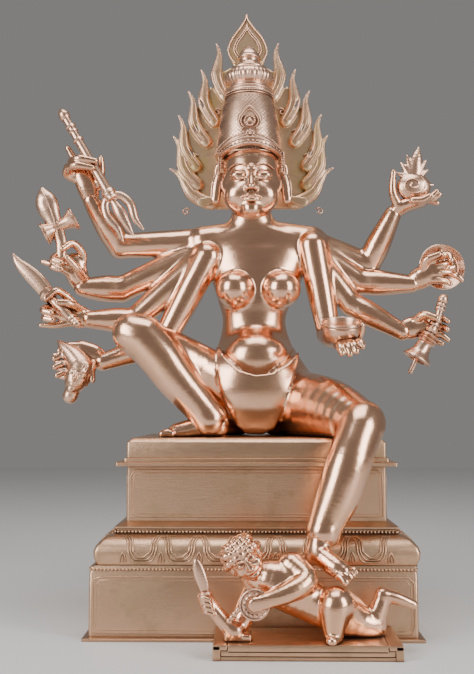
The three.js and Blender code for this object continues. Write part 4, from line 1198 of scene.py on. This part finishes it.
def block_stack(levels, spacing=0.0):
    """A block through levels [z, half x, half y, shift x, corner], closed with flat ends."""
    rings = [rectangle_ring(hx, hy, sx, z, c, 6, spacing) for z, hx, hy, sx, c in levels]
    count = len(rings[0])
    grid = np.array(rings)
    verts = np.vstack([grid.reshape(-1, 3), grid[0].mean(axis=0), grid[-1].mean(axis=0)])
    first, last = np.arange(count), (len(rings) - 1) * count + np.arange(count)
    tris = np.vstack([np.stack([np.full(count, len(verts) - 2), np.roll(first, -1), first], axis=1),
                      np.stack([np.full(count, len(verts) - 1), last, np.roll(last, -1)], axis=1)])
    return outward(verts, grid_faces(len(rings), count, True), tris)


def cushion_out(z):
    return np.interp(z, [c[0] for c in CUSHION], [c[1] for c in CUSHION])


def cushion_line(along, z, side, lift):
    """A place on the cushion's front (0), her left (1), back (2) or her right side (3)."""
    out = cushion_out(z) + lift
    if side in (0, 2):
        sign = -1 if side == 0 else 1
        return np.stack([UPPER_SHIFT + along, sign * (UPPER_Y + out), z], axis=1)
    sign = 1 if side == 1 else -1
    return np.stack([UPPER_SHIFT + sign * (UPPER_X + out), along, z], axis=1)


def petal_lines():
    """Each lotus petal hangs from the rim as a wide U in three nested lines, with a dart between two petals."""
    shells = []
    for side in range(4):
        count = 7 if side in (0, 2) else 5
        for i in range(count):
            middle = (i - (count - 1) / 2) * PETAL_PITCH
            for inside, size in ((0, 1.15), (3.0, 0.9), (6.0, 1.15)):
                half = PETAL_HALF - inside
                foot = 88 + inside * 0.9
                outline = [[-half - 6, 115], [-half - 1.5, 113], [-half + 1, 107], [-half + 1.5, 100],
                           [-half + 4.5, foot + 3.5], [-half + 9, foot], [0, foot - 0.5]]
                outline = np.array(outline)
                outline = np.vstack([outline, (outline * [-1, 1])[::-1][1:]])
                path = smooth(outline, 4)
                shells.append(tube(cushion_line(middle + path[:, 0], path[:, 1], side, 0.4), size, 6))
        for i in range(count + 1):
            middle = (i - count / 2) * PETAL_PITCH
            for half in (3.4, 0.01):
                path = smooth([[-half, 87], [-half * 0.8, 93], [0, 99 if half > 1 else 94]], 4)
                for way in (-1, 1):
                    if half < 1 and way > 0:
                        continue
                    line = cushion_line(middle + way * path[:, 0], path[:, 1], side, 0.3)
                    shells.append(tube(line, 0.9, 6))
    return shells


def panel_lines(half_x, half_y, shift_x, low, high):
    """The border lines that frame each face of a block."""
    shells = []
    for side in range(4):
        half = half_x if side in (0, 2) else half_y
        for inside, size in ((4.5, 0.9), (8.0, 0.6)):
            corners = [[-half + inside, low + inside], [half - inside, low + inside],
                       [half - inside, high - inside], [-half + inside, high - inside]]
            path = evenly(np.array([[*c, 0] for c in corners], float), 12, True)
            if side in (0, 2):
                sign = -1 if side == 0 else 1
                line = np.stack([shift_x + path[:, 0], sign * (half_y - 0.2) + 0 * path[:, 0], path[:, 1]], axis=1)
            else:
                sign = 1 if side == 1 else -1
                line = np.stack([shift_x + sign * (half_x - 0.2) + 0 * path[:, 0], path[:, 0], path[:, 1]], axis=1)
            shells.append(tube(line, size, 6, True))
    return shells


def pedestal():
    levels = [
        [0, LOWER_X + 7, LOWER_Y + 7, 0, 2], [3, LOWER_X + 7, LOWER_Y + 7, 0, 2],
        [3.5, LOWER_X + 6.4, LOWER_Y + 6.4, 0, 2], [3.8, LOWER_X, LOWER_Y, 0, 3],
        [75, LOWER_X, LOWER_Y, 0, 3], [76.4, LOWER_X - 0.6, LOWER_Y - 0.6, 0, 3],
        [81.6, LOWER_X - 0.6, LOWER_Y - 0.6, 0, 3], [83.2, UPPER_X + 31, UPPER_Y + 31, UPPER_SHIFT * 0.8, 4]]
    levels += [[z, UPPER_X + out, UPPER_Y + out, UPPER_SHIFT, 5] for z, out in CUSHION]
    levels += [
        [116.4, UPPER_X + 10.4, UPPER_Y + 10.4, UPPER_SHIFT, 4], [121.4, UPPER_X + 10.4, UPPER_Y + 10.4, UPPER_SHIFT, 3],
        [122.6, UPPER_X + 12.5, UPPER_Y + 12.5, UPPER_SHIFT, 3], [124.4, UPPER_X + 12.5, UPPER_Y + 12.5, UPPER_SHIFT, 3],
        [126.6, UPPER_X + 7, UPPER_Y + 7, UPPER_SHIFT, 3], [129, UPPER_X + 3, UPPER_Y + 3, UPPER_SHIFT, 3],
        [130, UPPER_X, UPPER_Y, UPPER_SHIFT, 3], [193.5, UPPER_X, UPPER_Y, UPPER_SHIFT, 3]]
    return block_stack(levels)


def pedestal_beads():
    shells = []
    for z, out, radius in ((79, LOWER_X - UPPER_X - 0.4, 1.7), (118.6, 11.2, 1.8)):
        shift = 0 if z < 100 else UPPER_SHIFT
        ring = rectangle_ring(UPPER_X + out, UPPER_Y + out - (1.6 if z < 100 else 0), shift, z, 2, 4, 4.2)
        shells.append(beads(ring, radius, 4, 6))
    return shells


def bar(low, high, corner=0.8):
    """A block with softened upright edges and faces."""
    (x0, y0, z0), (x1, y1, z1) = low, high
    hx, hy, cx, cy = (x1 - x0) / 2, (y1 - y0) / 2, (x0 + x1) / 2, (y0 + y1) / 2
    c = corner
    levels = [[z0, hx - c, hy - c, cx, c], [z0 + c * 0.3, hx - c * 0.3, hy - c * 0.3, cx, c], [z0 + c, hx, hy, cx, c],
              [z1 - c, hx, hy, cx, c], [z1 - c * 0.3, hx - c * 0.3, hy - c * 0.3, cx, c], [z1, hx - c, hy - c, cx, c]]
    verts, quads, tris = block_stack(levels)
    return verts + [0, cy, 0], quads, tris


TRAY = {"left": -42, "right": 156, "front": -234, "rail": 15, "lip": 7, "sheet": 4.5, "top": 16.5, "tongue": 10}


def tray():
    t = TRAY
    back = -LOWER_Y + 1
    shells = [bar((t["left"] + 1, t["front"] + 1, 0), (t["right"] - 1, back, t["sheet"]))]
    for side in (0, 1):
        if side == 0:
            x0, x1, g0, g1 = t["left"], t["left"] + t["rail"], t["left"] + t["rail"], t["left"] + t["rail"] + t["lip"]
            inner = (x0, x1)
        else:
            x0, x1 = t["right"] - t["rail"], t["right"]
            inner = (x0, x1)
        low_inner = (x0, x1 - t["lip"]) if side == 0 else (x0 + t["lip"], x1)
        shells.append(bar((low_inner[0], t["front"], 0), (low_inner[1], back, t["top"] - 1)))
        shells.append(bar((inner[0], t["front"], t["tongue"] + 1), (inner[1], back, t["top"])))
    return shells


def seat_slab():
    sx, sy = 153.5, 118
    return block_stack([
        [193.9, sx + 10.6, sy + 10.6, 4, 3], [194.4, sx + 12, sy + 12, 4, 3], [198.2, sx + 12, sy + 12, 4, 3],
        [198.8, sx + 11, sy + 11, 4, 3], [199, sx + 3.4, sy + 3.4, 4, 3], [202.8, sx + 3, sy + 3, 4, 3],
        [203.5, sx + 2, sy + 2, 4, 3], [203.8, sx, sy, 4, 3], [221, sx, sy, 4, 3], [222.4, sx - 0.8, sy - 0.8, 4, 3],
        [226, sx - 5, sy - 5, 4, 3], [226.5, sx - 6, sy - 6, 4, 3]])


# Demon

def demon_body():
    wax = Wax((-76, -240, 12), (186, -146, 112), 1.35)
    wax.add(strand([[0, -197, 84, 13], [6, -197, 80, 18], [32, -198, 72, 26], [66, -196, 52, 22], [98, -193, 40, 24]]))
    wax.add(strand([[42, -200, 92, 15], [56, -214, 80, 12.5], [40, -226, 70, 11], [14, -231, 61, 8.5]]), 3)
    wax.add(strand([[14, -231, 61, 8.5], [2, -232, 58, 9]]), 2)
    wax.add(strand([[8, -192, 74, 14], [-4, -200, 52, 12.5], [-14, -208, 32, 11], [-20, -215, 27, 10]]), 3)
    wax.add(strand([[-20, -215, 27, 10], [-30, -216, 36, 8.6], [-44, -216, 52, 7.5]]), 3)
    wax.add(strand([[-44, -216, 52, 8], [-50, -217, 60, 8.4]], ((0, 1, 0), 0.9)), 2)
    for k in range(4):
        a = [[-57 + 1.4 * k, -214, 62 - 5 * k, 2.8], [-54 + 1.4 * k, -223, 63 - 5 * k, 2.6],
             [-46 + 1.4 * k, -225, 61 - 5 * k, 2.3]]
        wax.add(strand(a), 0.8)
    wax.add(strand([[98, -194, 40, 20], [92, -204, 50, 20.5], [88, -213, 53, 19], [86, -217, 42, 15],
                    [85, -219, 28, 11]]), 4)
    wax.add(strand([[86, -219, 24, 9], [84, -224, 21, 8], [82, -230, 20, 6.4]], ((0, 0, 1), 0.8)), 3)
    wax.add(strand([[100, -192, 38, 21], [118, -190, 30, 18], [131, -190, 27, 13.5]]), 4)
    wax.add(strand([[128, -190, 26, 12.5], [135, -190, 42, 11], [141, -190, 58, 8.2]]), 3)
    wax.add(strand([[140, -190, 60, 7.6], [156, -190, 56, 7], [174, -190, 49, 5]]), 3)
    wax.add(block((-30, -222, 15.8), (-2, -198, 24)), 2)
    wax.cut(block((-90, -300, 0), (200, -100, 16.6)))
    return wax.shell()


def demon_head():
    wax = Wax((-44, -234, 66), (34, -172, 136), 0.85)
    middle = np.array([-9, -206, 99.0])
    lean = turn_matrix((12, -36, 8))
    turn = (12, -36, 8)

    def at(x, y, z):
        return list(middle + lean @ np.array([x, y, z], float))

    wax.add(egg(at(0, 2, 5), (17.5, 18, 17.5), turn))
    wax.add(egg(at(0, -3, -8), (14, 15, 15), turn), 6)
    for side in (-1, 1):
        wax.cut(egg(at(side * 6.6, -17, 3), (5, 2.4, 3.2), turn), 3)
        wax.add(egg(at(side * 6.8, -13.4, 2.6), (4.6, 3.4, 3), turn), 0.6)
        wax.add(strand([[*at(side * 1.8, -16.4, 6), 1], [*at(side * 7, -17, 9), 1.3], [*at(side * 13, -11, 6), 0.9]]), 0.6)
        wax.add(egg(at(side * 3, -17.6, -4.4), (2.6, 3, 2.2), turn), 1)
        wax.add(egg(at(side * 10, -11, -5), (5, 5, 5), turn), 4)
        wax.add(egg(at(side * 17, 0, -1), (3, 5, 8), turn), 1)
        wax.add(strand([[*at(side * 5.4, -16.6, -9.5), 1.2], [*at(side * 5.6, -17, -12.6), 0.5]]), 0.3)
    wax.add(strand([[*at(0, -17, 5), 1.8], [*at(0, -21, -3.6), 3.2]]), 2)
    wax.add(strand([[*at(-8, -14, -9), 1], [*at(-3, -17.6, -8.4), 1.6], [*at(3, -17.6, -8.4), 1.6], [*at(8, -14, -9), 1]]), 0.8)
    wax.add(strand([[*at(-7, -14, -13), 1], [*at(0, -17, -14.4), 1.7], [*at(7, -14, -13), 1]]), 0.8)
    wax.cut(strand([[*at(-7, -16.6, -11.2), 0.8], [*at(0, -19.4, -11.4), 1.3], [*at(7, -16.6, -11.2), 0.8]]), 0.4)
    wax.add(egg(at(0, -12, -20), (6, 5, 4.6), turn), 4)
    wax.add(strand([[*at(2, 2, -12), 13], [*at(8, 4, -28), 13]]), 5)
    for ring, count, out, up in ((0, 11, 20, 12), (1, 9, 16.5, 18), (2, 6, 10, 22.6)):
        for k in range(count):
            a = math.pi * (k + 0.5 * (ring % 2)) / (count - 1) if count > 1 else 0
            x = -math.cos(a) * out
            y = -math.sin(a) * out * (0.62 if ring == 0 else 0.7)
            wax.add(egg(at(x, y + 1, up - 7 * (1 - math.sin(a)) * (ring == 0)), (4.6, 4.6, 4.6)), 0.6)
    for k in range(8):
        a = math.pi * k / 7
        wax.add(egg(at(-math.cos(a) * 15, 6 + math.sin(a) * 11, 14), (6, 6, 8)), 1)
    return wax.shell(1)


def demon_things():
    """His sword and its hilt, the small round shield, and his anklets and bracelets."""
    wax = Wax((-70, -228, 52), (-40, -206, 110), 0.9)
    wax.add(strand([[-51, -217, 60, 3.4], [-52, -217, 72, 5.4], [-56, -217, 84, 6.4], [-59, -217, 94, 5],
                    [-61, -217, 102, 1]], ((0, 1, 0), 0.42)))
    shells = [wax.shell(1)]
    shells.append(turned(rounded([[0, -2.5], [7, -1.5], [8, 0], [7, 1.5], [0, 2.5]]), (-51, -217, 66), (-52, -217, 72), 20))
    shells.append(turned(rounded([[0, 0], [14, 0], [16.4, 2], [16, 4], [14.4, 4.4], [13.6, 3.4], [10, 4.2], [9, 5.6],
                                  [6, 5.6], [5, 7], [2, 8.4], [0, 8.8]], 3), (2, -230, 57), (1, -238, 58), 40))
    face = np.array([1.5, -235.5, 57.6])
    for k in range(14):
        a = 2 * math.pi * k / 14
        shells.append(beads([face + [11.6 * math.cos(a), 0.2, 11.6 * math.sin(a)]], 1.7))
    for k in range(4):
        shells.append(beads([[-16 - 3 * k, -230 + 2 * k, 51 - 4 * k]], 3.4, 5, 9))
    return shells


def demon_plate():
    t = TRAY
    left, right = t["left"] + t["rail"] - t["lip"] + 0.5, t["right"] - t["rail"] + t["lip"] - 0.5
    return [bar((left, -233, 4.9), (right, -157.5, t["tongue"] + 0.6)),
            bar((t["left"] + t["rail"] + 0.5, -233, 8), (t["right"] - t["rail"] - 0.5, -157.5, 16.5))]


# The figure's pieces

upper = upper_body()
lower = lower_body()
feet_shells = feet()
hands = [hand(*pose) for pose in HANDS.values()]
face = head()
piece("goddess_upper_body", "goddess", "polished_bronze", upper)
piece("goddess_lower_body", "goddess", "polished_bronze", lower)
piece("goddess_feet", "goddess", "polished_bronze", *feet_shells)
piece("goddess_hands", "goddess", "polished_bronze", *hands)
piece("goddess_head", "goddess", "polished_bronze", face)
head_skin = Skin(face)
piece("goddess_crown", "goddess", "chased_bronze", *crown(), *diadem(head_skin), *medallion())
plate, flame_lines = aureole()
piece("goddess_aureole_plate", "goddess", "halo_bronze", plate)
piece("goddess_aureole_lines", "goddess", "chased_bronze", *flame_lines)
for name, make in (("trident", trident), ("drum", drum), ("dagger", dagger), ("bell", bell), ("shield", shield),
                   ("fire", fire), ("cup", cup), ("severed_head", severed_head)):
    piece("goddess_" + name, "goddess", "chased_bronze", *make(), sharp=40)

piece("pedestal_body", "pedestal", "pedestal_bronze", pedestal(), sharp=35)
piece("pedestal_petals", "pedestal", "pedestal_bronze", *petal_lines())
piece("pedestal_beads", "pedestal", "pedestal_bronze", *pedestal_beads())
piece("pedestal_borders", "pedestal", "pedestal_bronze",
      *panel_lines(LOWER_X, LOWER_Y, 0, 3.5, 75), *panel_lines(UPPER_X, UPPER_Y, UPPER_SHIFT, 130, 193.5))
piece("pedestal_tray", "pedestal", "pedestal_bronze", *tray(), sharp=35)
piece("seat_slab_body", "seat_slab", "pedestal_bronze", seat_slab(), sharp=35)
piece("demon_body", "demon", "polished_bronze", demon_body())
piece("demon_head", "demon", "polished_bronze", demon_head())
piece("demon_things", "demon", "chased_bronze", *demon_things(), sharp=40)
piece("demon_plate", "demon", "pedestal_bronze", *demon_plate(), sharp=35)


# Camera, light and floor

scene = bpy.context.scene
camera_data = bpy.data.cameras.new("camera")
camera_data.sensor_width = 36
camera_data.lens = 48.07
camera = bpy.data.objects.new("camera", camera_data)
camera.location = (0, -1.190, 0.2575)
camera.rotation_euler = (math.radians(94.7636), 0, math.radians(1))
scene.collection.objects.link(camera)
scene.camera = camera

world = bpy.data.worlds.new("studio")
world.use_nodes = True
world.node_tree.nodes["Background"].inputs["Color"].default_value = (0.62, 0.6, 0.58, 1)
world.node_tree.nodes["Background"].inputs["Strength"].default_value = 0.35
scene.world = world


def softbox(name, place, target, width, height, power, colour=(1, 1, 1)):
    light = bpy.data.lights.new(name, "AREA")
    light.shape = "RECTANGLE"
    light.size, light.size_y, light.energy, light.color = width, height, power, colour
    lamp = bpy.data.objects.new(name, light)
    lamp.location = place
    aim = np.array(target, float) - np.array(place, float)
    lamp.rotation_euler = (math.atan2(math.hypot(aim[0], aim[1]), -aim[2]), 0, math.atan2(-aim[0], aim[1]))
    scene.collection.objects.link(lamp)


softbox("left_softbox", (-1.3, -1.1, 0.9), (0, 0, 0.4), 0.8, 1.2, 26)
softbox("right_softbox", (1.3, -1.0, 0.8), (0, 0, 0.4), 0.6, 1.2, 20)
softbox("top_softbox", (0, -0.3, 1.9), (0, 0, 0.4), 1.2, 0.9, 16)


def slab(name, corners, finish):
    mesh = bpy.data.meshes.new(name)
    mesh.from_pydata(corners, [], [(0, 1, 2, 3)])
    mesh.materials.append(finish)
    obj = bpy.data.objects.new(name, mesh)
    scene.collection.objects.link(obj)
    return obj


floor_finish = bpy.data.materials.new("pale_floor")
floor_finish.use_nodes = True
floor_shader = floor_finish.node_tree.nodes["Principled BSDF"]
floor_shader.inputs["Base Color"].default_value = (0.72, 0.71, 0.7, 1)
floor_shader.inputs["Roughness"].default_value = 0.55
slab("floor", [(-3, -3, 0), (3, -3, 0), (3, 3, 0), (-3, 3, 0)], floor_finish)
